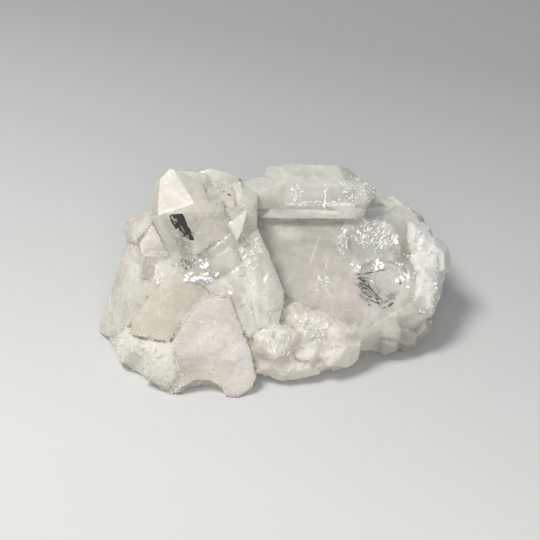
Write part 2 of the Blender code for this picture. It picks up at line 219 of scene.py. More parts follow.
class SharedEffects:
    """The node groups that several finishes use, each made once."""

    def __init__(self) -> None:
        """Starts with no group made."""
        self.made: dict[str, Tree] = {}

    def group(self, name: str, inputs: dict[str, float | tuple], outputs: dict[str, str],
              fill: Fill) -> Tree:
        """Finds a group, or makes it.

        Args:
            name: The group's name.
            inputs: Socket name to its default value, which is a number or a vector.
            outputs: Socket name to its kind.
            fill: Adds the group's nodes.

        Returns:
            The group's tree.
        """
        if name in self.made:
            return self.made[name]
        tree = bpy.data.node_groups.new(name, "ShaderNodeTree")
        for label, default in inputs.items():
            kind = VECTOR if isinstance(default, tuple) else NUMBER
            socket = tree.interface.new_socket(label, in_out="INPUT", socket_type=kind)
            socket.default_value = default
        for label, kind in outputs.items():
            tree.interface.new_socket(label, in_out="OUTPUT", socket_type=kind)
        source = place(tree, "NodeGroupInput")
        sink = place(tree, "NodeGroupOutput")
        for label, socket in fill(tree, source.outputs).items():
            tree.links.new(socket, sink.inputs[label])
        self.made[name] = tree
        return tree

    def clouds(self) -> Tree:
        """The cloudy veils inside milky quartz: a mask from 0, clear, to 1, milky."""
        def fill(tree: Tree, given: dict) -> dict:
            """Adds the veils: soft noise with its contrast raised."""
            at = scaled(tree, given["Vector"], given["Per Metre"])
            soft = noised(tree, at, 1.0, 5.0, rough=0.62, distortion=0.7)
            low = maths(tree, "SUBTRACT", 0.5, given["Width"])
            return {"Mask": stepped(tree, soft, low, maths(tree, "ADD", 0.5, given["Width"]))}
        return self.group("cloudy_veils", {"Vector": ORIGIN, "Per Metre": 200.0, "Width": 0.15},
                          {"Mask": NUMBER}, fill)

    def sugar(self) -> Tree:
        """Small tilted facets, one to a cell, as a height in metres and a tone for each cell."""
        def fill(tree: Tree, given: dict) -> dict:
            """Adds the cells, and tilts each one by its own colour."""
            scale = maths(tree, "DIVIDE", 1.0, given["Cell"])
            cells = place(tree, "ShaderNodeTexVoronoi",
                          {"Vector": given["Vector"], "Scale": scale, "Randomness": 1.0}).outputs
            tilt = vector_maths(tree, "SUBTRACT", cells["Color"], (0.5, 0.5, 0.5)).outputs[0]
            from_middle = vector_maths(tree, "SUBTRACT", given["Vector"],
                                       cells["Position"]).outputs[0]
            height = vector_maths(tree, "DOT_PRODUCT", from_middle, tilt).outputs["Value"]
            tone = place(tree, "ShaderNodeSeparateColor", {"Color": cells["Color"]}).outputs["Red"]
            return {"Height": height, "Tone": tone}
        return self.group("sugary_facets", {"Vector": ORIGIN, "Cell": 0.001},
                          {"Height": NUMBER, "Tone": NUMBER}, fill)

    def flaws(self) -> Tree:
        """Flat flaws inside, seen as angular zones of slightly different brightness: a tone."""
        def fill(tree: Tree, given: dict) -> dict:
            """Adds two sizes of bent cells, and averages their tones."""
            at = scaled(tree, given["Vector"], given["Per Metre"])
            bend = noised(tree, at, 1.3, 2.0, output="Color")
            bent = vector_maths(tree, "MULTIPLY_ADD", bend, FLAW_BEND, at).outputs[0]
            tones = []
            for scale in FLAW_SCALES:
                cells = place(tree, "ShaderNodeTexVoronoi", {"Vector": bent, "Scale": scale})
                split = place(tree, "ShaderNodeSeparateColor", {"Color": cells.outputs["Color"]})
                tones.append(split.outputs[0])
            return {"Tone": maths(tree, "MULTIPLY", maths(tree, "ADD", *tones), 0.5)}
        return self.group("inner_flaws", {"Vector": ORIGIN, "Per Metre": 200.0},
                          {"Tone": NUMBER}, fill)

    def cracks(self) -> Tree:
        """Thin pale lines of healed cracks, broken up so that they come and go."""
        def fill(tree: Tree, given: dict) -> dict:
            """Adds the edges of bent cells, and keeps them only here and there."""
            at = scaled(tree, given["Vector"], given["Per Metre"])
            bend = noised(tree, at, 0.9, 3.0, output="Color")
            bent = vector_maths(tree, "ADD", at, bend).outputs[0]
            edge = place(tree, "ShaderNodeTexVoronoi", {"Vector": bent, "Scale": 1.0},
                         feature="DISTANCE_TO_EDGE").outputs["Distance"]
            line = ranged(tree, edge, 0.0, given["Line"], 1.0, 0.0)
            where = noised(tree, at, 0.7, 1.0)
            return {"Mask": maths(tree, "MULTIPLY", line, stepped(tree, where, *CRACK_STEP))}
        return self.group("healed_cracks", {"Vector": ORIGIN, "Per Metre": 150.0, "Line": 0.02},
                          {"Mask": NUMBER}, fill)

    def patch(self) -> Tree:
        """A ragged patch round one place: 1 inside an ellipsoid, or a box, and 0 outside it.

        It also puts out the point in the patch's own frame, where the ellipsoid is a unit ball.
        """
        def fill(tree: Tree, given: dict) -> dict:
            """Measures how far the point is out of the middle, and steps there."""
            local = place(tree, "ShaderNodeMapping",
                          {"Vector": given["Vector"], "Location": given["Centre"],
                           "Rotation": given["Turn"], "Scale": given["Reach"]},
                          vector_type="TEXTURE").outputs[0]
            ball = vector_maths(tree, "LENGTH", local).outputs["Value"]
            parts = place(tree, "ShaderNodeSeparateXYZ",
                          {0: vector_maths(tree, "ABSOLUTE", local).outputs[0]}).outputs
            box = maths(tree, "MAXIMUM", maths(tree, "MAXIMUM", parts[0], parts[1]), parts[2])
            reach = place(tree, "ShaderNodeMix", {0: given["Square"], 2: ball, 3: box}).outputs[0]
            pushed = maths(tree, "MULTIPLY", given["Ragged"], given["Rag"])
            edge = maths(tree, "SUBTRACT", 1.0, maths(tree, "ADD", reach, pushed))
            return {"Mask": stepped(tree, edge, 0.0, given["Fade"]), "Local": local}
        return self.group("ragged_patch",
                          {"Vector": ORIGIN, "Centre": ORIGIN, "Turn": ORIGIN,
                           "Reach": (0.01, 0.01, 0.01), "Square": 0.0, "Fade": 0.2,
                           "Ragged": 0.0, "Rag": 1.0},
                          {"Mask": NUMBER, "Local": VECTOR}, fill)

    def streaks(self) -> Tree:
        """Streaks along a patch's first axis, bent a little: a mask."""
        def fill(tree: Tree, given: dict) -> dict:
            """Adds noise that is stretched along the first axis."""
            bend = noised(tree, given["Local"], 1.6, 2.0, output="Color")
            bent = vector_maths(tree, "ADD", given["Local"], bend).outputs[0]
            at = vector_maths(tree, "MULTIPLY", bent, given["Stretch"]).outputs[0]
            lines = noised(tree, at, 1.0, 3.0, rough=0.65)
            high = maths(tree, "ADD", given["Share"], STREAK_EDGE)
            return {"Mask": stepped(tree, lines, given["Share"], high)}
        return self.group("streaks", {"Local": ORIGIN, "Stretch": (1.5, 12, 3), "Share": 0.52},
                          {"Mask": NUMBER}, fill)


EFFECTS = SharedEffects()


# ---------------------------------------------------------------------------------------------
# Finishes


# A near-white for pale flaws and flecks, and for painted highlights and glints on edges and broken
# places.
FLAW_AND_GLINT_WHITE = (1.0, 0.985, 0.945)
STAIN = (0.30, 0.22, 0.15)
# The black of a painted reflection of a dark thing, on the upright crystal's side.
REFLECTED_BLACK = (0.006, 0.006, 0.007)


class Pattern(Enum):
    """What fills a patch."""

    SOLID = "one colour"
    STREAKS = "streaks along the patch's first axis"
    COARSE = "coarse flecks"
    FINE = "fine flecks"


FINE, COARSE = Pattern.FINE, Pattern.COARSE
STREAK_STRETCH = (1.3, 11.0, 3.0)
STREAK_SHARE = 0.5
FLECK_SCALES = {COARSE: 620.0, FINE: 1150.0}
FLECK_STEP = (0.54, 0.60)
RAG_SCALES = (420.0, 1300.0)
OUTWARD = (0.0, -0.6, 0.8)
FACING = ((1, 0, 0), OUTWARD)
# A line is drawn this much longer than the way between its ends, so that seams close.
LINE_OVERLAP = 1.04


@dataclass(frozen=True)
class Patch:
    """A place on the cluster with its own colour.

    axes are two directions, along the patch and across it, and sizes how far it reaches along
    them and through the surface. fade is the part of that reach over which the edge fades, and
    rag how ragged the edge is: fine picks the finer of the two grains that make it ragged.
    square goes from 0, an ellipsoid, to 1, a box.
    """

    centre: Point
    axes: tuple[Point, Point]
    sizes: Point
    colour: Colour
    strength: float = 1.0
    rag: float = 1.0
    fine: bool = True
    fade: float = 0.25
    square: float = 0.0
    pattern: Pattern = Pattern.SOLID

    def turn(self) -> tuple[float, float, float]:
        """Finds the rotation that takes the patch's own axes to its directions.

        Returns:
            The rotation's three angles.
        """
        along = Vector(self.axes[0]).normalized()
        through = along.cross(Vector(self.axes[1])).normalized()
        across = through.cross(along)
        return tuple(Matrix((along, across, through)).transposed().to_euler())

    def mask(self, tree: Tree, place_at: Socket, grains: dict[object, Socket]) -> Socket:
        """Builds the patch's mask.

        Args:
            tree: The material's tree.
            place_at: The point on the object.
            grains: The material's shared grains, by pattern and by fineness.

        Returns:
            The mask's socket.
        """
        node = place(tree, "ShaderNodeGroup",
                     {"Vector": place_at, "Centre": tuple(Vector(self.centre) * MM),
                      "Turn": self.turn(), "Reach": tuple(Vector(self.sizes) * MM),
                      "Square": self.square, "Fade": self.fade, "Rag": self.rag,
                      "Ragged": grains[self.fine]}, node_tree=EFFECTS.patch())
        mask = maths(tree, "MULTIPLY", node.outputs["Mask"], self.strength)
        if self.pattern is Pattern.SOLID:
            return mask
        if self.pattern is Pattern.STREAKS:
            marks = place(tree, "ShaderNodeGroup",
                          {"Local": node.outputs["Local"], "Stretch": STREAK_STRETCH,
                           "Share": STREAK_SHARE}, node_tree=EFFECTS.streaks()).outputs["Mask"]
        else:
            marks = grains[self.pattern]
        return maths(tree, "MULTIPLY", mask, marks)


def spot(centre: Point, size: float, colour: Colour, **more: object) -> Patch:
    """A round patch of the given reach."""
    return Patch(centre, ((1, 0, 0), (0, 1, 0)), (size, size, size), colour, **more)


def zone(centre: Point, axes: tuple[Point, Point], sizes: Point, colour: Colour,
         strength: float, fade: float) -> Patch:
    """A broad tone with a soft and coarsely ragged edge."""
    return Patch(centre, axes, sizes, colour, strength, fine=False, fade=fade)


def line(start: Point, end: Point, width: float, colour: Colour, deep: float = 1.2,
         **more: object) -> Patch:
    """A thin straight patch on a side that faces up and to the front.

    Args:
        start: Where it starts.
        end: Where it ends.
        width: Its half width.
        colour: Its colour.
        deep: How far it reaches in and out of the surface.
        **more: Other fields of the patch.

    Returns:
        The patch.
    """
    along = Vector(end) - Vector(start)
    middle = (Vector(start) + Vector(end)) / 2
    return Patch(tuple(middle), (tuple(along), tuple(along.cross(Vector(OUTWARD)))),
                 (along.length / 2 * LINE_OVERLAP, width, deep), colour, **{"rag": 0.5, **more})


def seam(points: tuple[Point, ...], width: float, colour: Colour,
         **more: object) -> tuple[Patch, ...]:
    """Thin patches from each point to the next."""
    return tuple(line(a, b, width, colour, **more) for a, b in zip(points, points[1:]))


@dataclass(frozen=True)
class Look:
    """What one form gives to the surface of the body, where it blends into its neighbours' looks.

    rough is its roughness, grain how far its sugary facets stand out and flecks how much of it is
    bright flecks, which are painted glints, each from 0 to 1. milky picks the cloudier of its
    part's two finishes.
    """

    tint: Colour
    rough: float = 0.2
    grain: float = 0.0
    flecks: float = 0.1
    milky: bool = False

    def values(self) -> tuple[float, ...]:
        """The look as a row of numbers: the tint, then the surface."""
        return (*self.tint, self.rough, self.grain, self.flecks)


TINT, SURFACE = "tint", "surface"


def painted(mesh: bpy.types.Mesh, values: np.ndarray) -> None:
    """Writes looks to a mesh's points, as its two colour attributes.

    Args:
        mesh: The mesh.
        values: A row for each point, as Look.values gives it.
    """
    for name, part in ((TINT, values[:, :3]), (SURFACE, values[:, 3:])):
        attribute = mesh.color_attributes.new(name, "FLOAT_COLOR", "POINT")
        colours = np.ones((len(part), 4), np.float32)
        colours[:, :3] = part
        attribute.data.foreach_set("color", colours.ravel())


def blended(mesh: bpy.types.Mesh, values: np.ndarray, rounds: int) -> np.ndarray:
    """Spreads values over a mesh's points.

    Args:
        mesh: The mesh.
        values: A row of numbers for each point.
        rounds: How often every point is averaged with its neighbours.

    Returns:
        The new rows.
    """
    ends = np.empty(len(mesh.edges) * 2, np.int32)
    mesh.edges.foreach_get("vertices", ends)
    one, two = ends.reshape(-1, 2).T
    count = 1.0 + np.bincount(ends, minlength=len(values))[:, None]
    for _ in range(rounds):
        total = values.copy()
        for column in range(values.shape[1]):
            total[:, column] += np.bincount(one, values[two, column], len(values))
            total[:, column] += np.bincount(two, values[one, column], len(values))
        values = total / count
    return values


# How the effects that every finish shares are set.
CLOUD_WIDTH = 0.18
CLOUD_ROUGHNESS = 0.15
CLOUD_LIGHT = 1.03
FLAW_TONES = (0.2, 0.8)
FLAW_LIGHT = 1.04
CRACK_LINE = 0.03
BRIGHT_FACETS = (0.45, 0.95)
FLECK_START, FLECK_GAIN, FLECK_EDGE = 0.74, 0.28, 0.05
WAVE_SCALE = 320.0
SCATTER_COLOUR = (1.0, 0.92, 0.82)


@dataclass(frozen=True)
class Quartz:
    """Quartz: cloudy or clear, coloured by the looks on the mesh and by patches.

    Sizes are in millimetres. transmission is how far light goes straight through, and scatter how
    far it spreads below the surface.
    """

    name: str
    transmission: float = 0.5
    scatter: float = 0.7
    scatter_reach: float = 3.0
    cloud_size: float = 5.0
    cloud_shade: float = 0.92
    flaw_size: float = 4.0
    flaw_shade: float = 0.9
    crack_size: float = 7.0
    crack_strength: float = 0.35
    grain: float = 0.8
    wave: float = 0.06
    patches: tuple[Patch, ...] = ()

    def material(self) -> bpy.types.Material:
        """Makes the material, or finds it if it is made already.

        Returns:
            The material.
        """
        found = bpy.data.materials.get(self.name)
        if found:
            return found
        material = bpy.data.materials.new(self.name)
        material.use_nodes = True
        tree = material.node_tree
        shader = tree.nodes["Principled BSDF"].inputs
        place_at = place(tree, "ShaderNodeTexCoord").outputs["Object"]
        surface = place(tree, "ShaderNodeAttribute", attribute_name=SURFACE).outputs["Color"]
        rough, grain, flecks = place(tree, "ShaderNodeSeparateColor", {"Color": surface}).outputs
        clouds = place(tree, "ShaderNodeGroup",
                       {"Vector": place_at, "Per Metre": 1 / (self.cloud_size * MM),
                        "Width": CLOUD_WIDTH}, node_tree=EFFECTS.clouds()).outputs["Mask"]
        sugar = place(tree, "ShaderNodeGroup", {"Vector": place_at, "Cell": self.grain * MM},
                      node_tree=EFFECTS.sugar()).outputs
        tree.links.new(self.colour(tree, place_at, clouds, sugar["Tone"], grain, flecks),
                       shader["Base Color"])
        clouded = maths(tree, "MULTIPLY", clouds, CLOUD_ROUGHNESS)
        tree.links.new(maths(tree, "ADD", rough, clouded), shader["Roughness"])
        wave = maths(tree, "MULTIPLY", noised(tree, place_at, WAVE_SCALE, 3.0), self.wave * MM)
        height = maths(tree, "ADD", wave, maths(tree, "MULTIPLY", sugar["Height"], grain))
        bump = place(tree, "ShaderNodeBump", {"Height": height, "Distance": 1.0, "Strength": 1.0})
        tree.links.new(bump.outputs["Normal"], shader["Normal"])
        shader["IOR"].default_value = QUARTZ_IOR
        shader["Transmission Weight"].default_value = self.transmission
        shader["Subsurface Weight"].default_value = self.scatter
        shader["Subsurface Radius"].default_value = SCATTER_COLOUR
        shader["Subsurface Scale"].default_value = self.scatter_reach * MM
        return material

    def colour(self, tree: Tree, place_at: Socket, clouds: Socket, tone: Socket, grain: Socket,
               flecks: Socket) -> Socket:
        """Builds the base colour.

        Args:
            tree: The material's tree.
            place_at: The point on the object.
            clouds: The mask of cloudy zones.
            tone: A tone for each sugary facet.
            grain: How far the sugary facets stand out.
            flecks: How much of the surface is flecks.

        Returns:
            The colour's socket.
        """
        tint = place(tree, "ShaderNodeAttribute", attribute_name=TINT).outputs["Color"]
        clouded = ranged(tree, clouds, 0.0, 1.0, self.cloud_shade, CLOUD_LIGHT)
        flaws = place(tree, "ShaderNodeGroup",
                      {"Vector": place_at, "Per Metre": 1 / (self.flaw_size * MM)},
                      node_tree=EFFECTS.flaws()).outputs["Tone"]
        flawed = ranged(tree, flaws, *FLAW_TONES, self.flaw_shade, FLAW_LIGHT)
        current = scaled(tree, tint, maths(tree, "MULTIPLY", clouded, flawed))
        cracks = place(tree, "ShaderNodeGroup",
                       {"Vector": place_at, "Per Metre": 1 / (self.crack_size * MM),
                        "Line": CRACK_LINE}, node_tree=EFFECTS.cracks()).outputs["Mask"]
        grains = self.grains(tree, place_at)
        low = maths(tree, "SUBTRACT", FLECK_START, maths(tree, "MULTIPLY", flecks, FLECK_GAIN))
        # Over the tint go the pale lines of healed cracks, then painted glints: white on the
        # brighter sugary facets and on flecks.
        for mask in (maths(tree, "MULTIPLY", cracks, self.crack_strength),
                     maths(tree, "MULTIPLY", stepped(tree, tone, *BRIGHT_FACETS), grain),
                     ranged(tree, grains["flecks"], low, maths(tree, "ADD", low, FLECK_EDGE))):
            current = laid_over(tree, current, FLAW_AND_GLINT_WHITE, mask)
        for patch in self.patches:
            current = laid_over(tree, current, patch.colour, patch.mask(tree, place_at, grains))
        return current

    def grains(self, tree: Tree, place_at: Socket) -> dict[object, Socket]:
        """Places the grains that the patches share: flecks by pattern, and rags by fineness.

        Args:
            tree: The material's tree.
            place_at: The point on the object.

        Returns:
            The grains' sockets.
        """
        made = {fine: maths(tree, "SUBTRACT", noised(tree, place_at, scale, 3.0, rough=0.7),
                             0.5)
                for fine, scale in zip((False, True), RAG_SCALES)}
        raw = {pattern: noised(tree, place_at, scale, 2.0, rough=0.55)
               for pattern, scale in FLECK_SCALES.items()}
        made |= {pattern: stepped(tree, value, *FLECK_STEP) for pattern, value in raw.items()}
        made["flecks"] = raw[FINE]
        return made


CLOUD = Quartz("inner_cloud_quartz", transmission=0.0)
FLAKE = Quartz("flake_quartz", transmission=0.0, scatter=0.0, cloud_shade=1.0, flaw_shade=1.0)


# ---------------------------------------------------------------------------------------------
# Forms: closed solids, built in millimetres


# A cut takes what lies within ON_PLANE of it as on it, and merges points closer than WELD.
ON_PLANE = 1e-5
WELD = 0.005
# The sides of the cubes that crystals and lumps are cut out of.
CRYSTAL_BLANK = 400
LUMP_BLANK = 4
# Neighbouring faces of a hull that turn less than this are one face.
FLAT_ANGLE = math.radians(2)
# How far out a lump's faces lie, as parts of its radii, and how far they are off an even spread.
LUMP_DEPTHS = (0.88, 1.0)
LUMP_NUDGE = 1.1
# How many segments and rings the tool for shell-shaped breaks has, and how its ripples waver.
SHELL_SEGMENTS, SHELL_RINGS = 72, 220
WAVER_SCALE, WAVER = 0.35, 1.6


def carve(bm: Mesh, point: Vector, normal: Vector) -> None:
    """Cuts a closed mesh with a plane and closes it again.

    Args:
        bm: The mesh, which is changed.
        point: A point on the plane.
        normal: The plane's normal. What lies on its side goes.
    """
    everything = bm.verts[:] + bm.edges[:] + bm.faces[:]
    bmesh.ops.bisect_plane(bm, geom=everything, dist=ON_PLANE, plane_co=point, plane_no=normal,
                           clear_outer=True)
    bmesh.ops.remove_doubles(bm, verts=bm.verts, dist=WELD)
    bmesh.ops.holes_fill(bm, edges=[e for e in bm.edges if e.is_boundary], sides=0)


def carve_all(bm: Mesh, planes: tuple[Plane, ...]) -> None:
    """Cuts a closed mesh with each plane, given as a point and a normal."""
    for point, normal in planes:
        carve(bm, Vector(point), Vector(normal).normalized())


def ordered(bm: Mesh) -> Mesh:
    """Rebuilds a mesh with its points and faces in an order that is the same in each run.

    Args:
        bm: The mesh, which is freed.

    Returns:
        The same mesh, in order.
    """
    points = sorted(bm.verts, key=lambda v: tuple(v.co))
    number = {v: k for k, v in enumerate(points)}
    rings = []
    for face in bm.faces:
        ring = [number[v] for v in face.verts]
        first = ring.index(min(ring))
        rings.append(ring[first:] + ring[:first])
    result = bmesh.new()
    made = [result.verts.new(v.co) for v in points]
    for ring in sorted(rings):
        result.faces.new([made[k] for k in ring])
    result.normal_update()
    bm.free()
    return result


@dataclass(frozen=True)
class Prism:
    """A six-sided quartz crystal.

    tip is where the long axis leaves the point, axis points out of the tip, and roll turns the
    sides about it. flats are the distances from the axis to the sides, and setbacks say how far
    below the tip each end face crosses the axis. An empty setbacks leaves the end to cuts.
    """

    tip: Point
    axis: Point
    roll: float
    flats: tuple[float, ...]
    length: float
    setbacks: tuple[float, ...] = (0,) * SIDES
    cuts: tuple[Plane, ...] = ()

    def solid(self) -> Mesh:
        """Cuts the crystal out of a cube by its faces.

        Returns:
            The solid, in millimetres.
        """
        tip, axis = Vector(self.tip), Vector(self.axis).normalized()
        across = (FRONT - FRONT.dot(axis) * axis).normalized()
        sides = [Matrix.Rotation(math.radians(self.roll + 360 / SIDES * k), 3, axis) @ across
                 for k in range(SIDES)]
        bm = bmesh.new()
        bmesh.ops.create_cube(bm, size=CRYSTAL_BLANK, matrix=Matrix.Translation(tip))
        for side, flat in zip(sides, self.flats):
            carve(bm, tip + side * flat, side)
        for side, setback in zip(sides, self.setbacks):
            slope = axis * math.cos(END_FACE_ANGLE) + side * math.sin(END_FACE_ANGLE)
            carve(bm, tip - axis * setback, slope)
        carve(bm, tip - axis * self.length, -axis)
        carve_all(bm, self.cuts)
        return bm


@dataclass(frozen=True)
class Block:
    """A broken block with flat faces: the hull of its corners."""

    corners: tuple[Point, ...]

    def solid(self) -> Mesh:
        """Wraps the corners in a hull.

        Returns:
            The solid, in millimetres.
        """
        bm = bmesh.new()
        for corner in self.corners:
            bm.verts.new(corner)
        made = bmesh.ops.convex_hull(bm, input=bm.verts)
        inside = [v for v in made["geom_interior"] if isinstance(v, bmesh.types.BMVert)]
        bmesh.ops.delete(bm, geom=inside, context="VERTS")
        bmesh.ops.dissolve_limit(bm, angle_limit=FLAT_ANGLE, verts=bm.verts, edges=bm.edges)
        return bm


@dataclass(frozen=True)
class Rock:
    """A rough lump: an ellipsoid cut by flat broken faces.

    turn is its angle about the upright, in degrees.
    """

    centre: Point
    radii: Point
    turn: float
    faces: int
    seed: int

    def solid(self) -> Mesh:
        """Cuts a ball out of a cube by flat faces at uneven depths, and stretches it.

        Returns:
            The solid, in millimetres.
        """
        dice = random.Random(self.seed)
        bm = bmesh.new()
        bmesh.ops.create_cube(bm, size=LUMP_BLANK)
        for direction in self.directions(dice):
            carve(bm, direction * dice.uniform(*LUMP_DEPTHS), direction)
        bmesh.ops.transform(bm, matrix=self.placing(), verts=bm.verts)
        return bm

    def placing(self) -> Matrix:
        """The matrix from a unit ball to the lump."""
        return (Matrix.Translation(Vector(self.centre))
                @ Matrix.Rotation(math.radians(self.turn), 4, "Z")
                @ Matrix.Diagonal(Vector((*self.radii, 1))))

    def directions(self, dice: random.Random) -> Iterator[Vector]:
        """Directions spread evenly over a sphere, each one a little off its place.

        Args:
            dice: What the small changes come from.

        Yields:
            Each direction, one unit long.
        """
        golden = math.pi * (3 - math.sqrt(5))
        for k in range(self.faces):
            z = 1 - (2 * k + 1) / self.faces
            ring = math.sqrt(1 - z * z)
            even = Vector((ring * math.cos(golden * k), ring * math.sin(golden * k), z))
            nudge = Vector([dice.uniform(-1, 1) for _ in range(3)]) * LUMP_NUDGE
            yield (even + nudge / math.sqrt(self.faces)).normalized()


@dataclass(frozen=True)
class Shell:
    """The tool that leaves a shell-shaped break: a ball with ripples round its lowest point.

    The ball sits on the surface's outer side along up, and reaches depth into it at hit. ripple
    is how high its ripples are, and spacing how far they are from each other.
    """

    hit: Point
    up: Point
    radius: float
    depth: float
    ripple: float
    spacing: float

    def solid(self) -> Mesh:
        """Makes a ball whose rings are pushed in and out.

        Returns:
            The solid, in millimetres.
        """
        up = Vector(self.up).normalized()
        bm = bmesh.new()
        bmesh.ops.create_uvsphere(bm, u_segments=SHELL_SEGMENTS, v_segments=SHELL_RINGS,
                                  radius=self.radius)
        for v in bm.verts:
            arc = self.radius * math.acos(max(-1.0, min(1.0, -v.co.z / self.radius)))
            wobble = noise.noise(v.co * WAVER_SCALE) * WAVER
            rise = math.sin((arc + wobble) * 2 * math.pi / self.spacing)
            v.co *= 1 + self.ripple * rise / self.radius
        turn = Vector((0, 0, 1)).rotation_difference(up).to_matrix().to_4x4()
        centre = Vector(self.hit) + up * (self.radius - self.depth)
        bmesh.ops.transform(bm, matrix=Matrix.Translation(centre) @ turn, verts=bm.verts)
        return bm


@dataclass(frozen=True)
class Hollowed:
    """A block with others taken out of it."""

    form: Block
    hollows: tuple[Rock | Shell, ...]

    def solid(self) -> Mesh:
        """Cuts the hollows out.

        Returns:
            The solid, in millimetres.
        """
        obj = mesh_object("whole", ordered(self.form.solid()))
        hollows = [mesh_object("hollow", hollow.solid()) for hollow in self.hollows]
        for hollow in hollows:
            cut = obj.modifiers.new("cut", "BOOLEAN")
            cut.operation = "DIFFERENCE"
            cut.object = hollow
            cut.solver = "EXACT"
        applied(obj)
        bm = bmesh.new()
        bm.from_mesh(obj.data)
        for used in (obj, *hollows):
            mesh = used.data
            bpy.data.objects.remove(used)
            bpy.data.meshes.remove(mesh)
        return bm


Form = Prism | Block | Rock | Hollowed


# ---------------------------------------------------------------------------------------------
# Making pieces


SHARP_ANGLE = math.radians(32)


def mesh_of(name: str, bm: Mesh) -> bpy.types.Mesh:
    """Makes a mesh.

    Args:
        name: Its name.
        bm: What it is made from, which is freed.

    Returns:
        The mesh.
    """
    mesh = bpy.data.meshes.new(name)
    bm.to_mesh(mesh)
    bm.free()
    return mesh


def mesh_object(name: str, bm: Mesh) -> bpy.types.Object:
    """Makes a mesh object and links it to the scene.

    Args:
        name: Its name.
        bm: Its mesh, in millimetres, which is freed.

    Returns:
        The object, still in millimetres.
    """
    obj = bpy.data.objects.new(name, mesh_of(name, bm))
    bpy.context.scene.collection.objects.link(obj)
    return obj


def applied(obj: bpy.types.Object) -> None:
    """Applies an object's modifiers.

    Args:
        obj: The object, which gets a new mesh.
    """
    graph = bpy.context.evaluated_depsgraph_get()
    mesh = bpy.data.meshes.new_from_object(obj.evaluated_get(graph))
    old = obj.data
    obj.modifiers.clear()
    obj.data = mesh
    bpy.data.meshes.remove(old)


def finished(obj: bpy.types.Object, *finishes: Quartz) -> bpy.types.Object:
    """Cuts a piece flat where it rests, scales it to metres and registers it.

    Args:
        obj: The piece, in millimetres.
        *finishes: Its finishes, in the order of its material slots.

    Returns:
        The piece.
    """
    bm = bmesh.new()
    bm.from_mesh(obj.data)
    if min(v.co.z for v in bm.verts) < 0:
        carve(bm, Vector(ORIGIN), Vector((0, 0, -1)))
    bmesh.ops.scale(bm, vec=(MM, MM, MM), verts=bm.verts)
    bm.to_mesh(obj.data)
    bm.free()
    obj.data.materials.clear()
    for finish in finishes:
        obj.data.materials.append(finish.material())
    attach(obj, BODY)
    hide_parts(NODE)
    LOG.info("%s: %d faces, %s", obj.name, len(obj.data.polygons),
             ", ".join(finish.name for finish in finishes))
    return obj


# What sets each small break's tilt apart from the next one's.
BREAK_SHUFFLE = 9.7
# The fine grain and the broad waves on a broken surface: how many waves there are in a millimetre,
# how quickly the grain's layers get weaker and finer, how many it has and what its middle is.
GRAIN_WAVES, SWELL_WAVES = 0.9, 0.16
GRAIN_LAYERS = (0.7, 2.1, 3)
GRAIN_MIDDLE = 0.3


@dataclass(frozen=True)
class Wear:
    """How a broken surface runs, in millimetres.

    facet is the size of its small flat breaks and depth how far they stand in and out. rough is
    the height of the fine grain on them, and swell that of the broad waves under them. soft says
    how far the edges are rounded, from 0 to 1.
    """

    facet: float = 3.0
    depth: float = 0.3
    rough: float = 0.06
    swell: float = 0.2
    soft: float = 0.0

    def push(self, at: Vector) -> float:
        """Finds how far the surface moves outwards.

        Args:
            at: The point on it.

        Returns:
            The distance.
        """
        where = at / self.facet
        middle = noise.voronoi(where)[1][0]
        tilt = noise.cell_vector(middle * BREAK_SHUFFLE) * 2 - Vector((1, 1, 1))
        facets = (where - middle).dot(tilt) * self.depth
        grain = (noise.fractal(at * GRAIN_WAVES, *GRAIN_LAYERS) - GRAIN_MIDDLE) * self.rough
        return facets + grain + noise.noise(at * SWELL_WAVES) * self.swell


CRISP = Wear(4.0, 0.0, 0.015, 0.06)
WORN = Wear(2.6, 0.1, 0.04, 0.15)
BROKEN = Wear(3.6, 0.3, 0.05, 0.3)
SMOOTH = Wear(5.0, 0.35, 0.06, 0.4, 0.3)


# No small crystal stands where the surface's normal points further down than this.
LOWEST_NORMAL = -0.4
# How far crystals that lie along one direction still turn from it, in radians from side to side.
LYING_TURN = 0.8


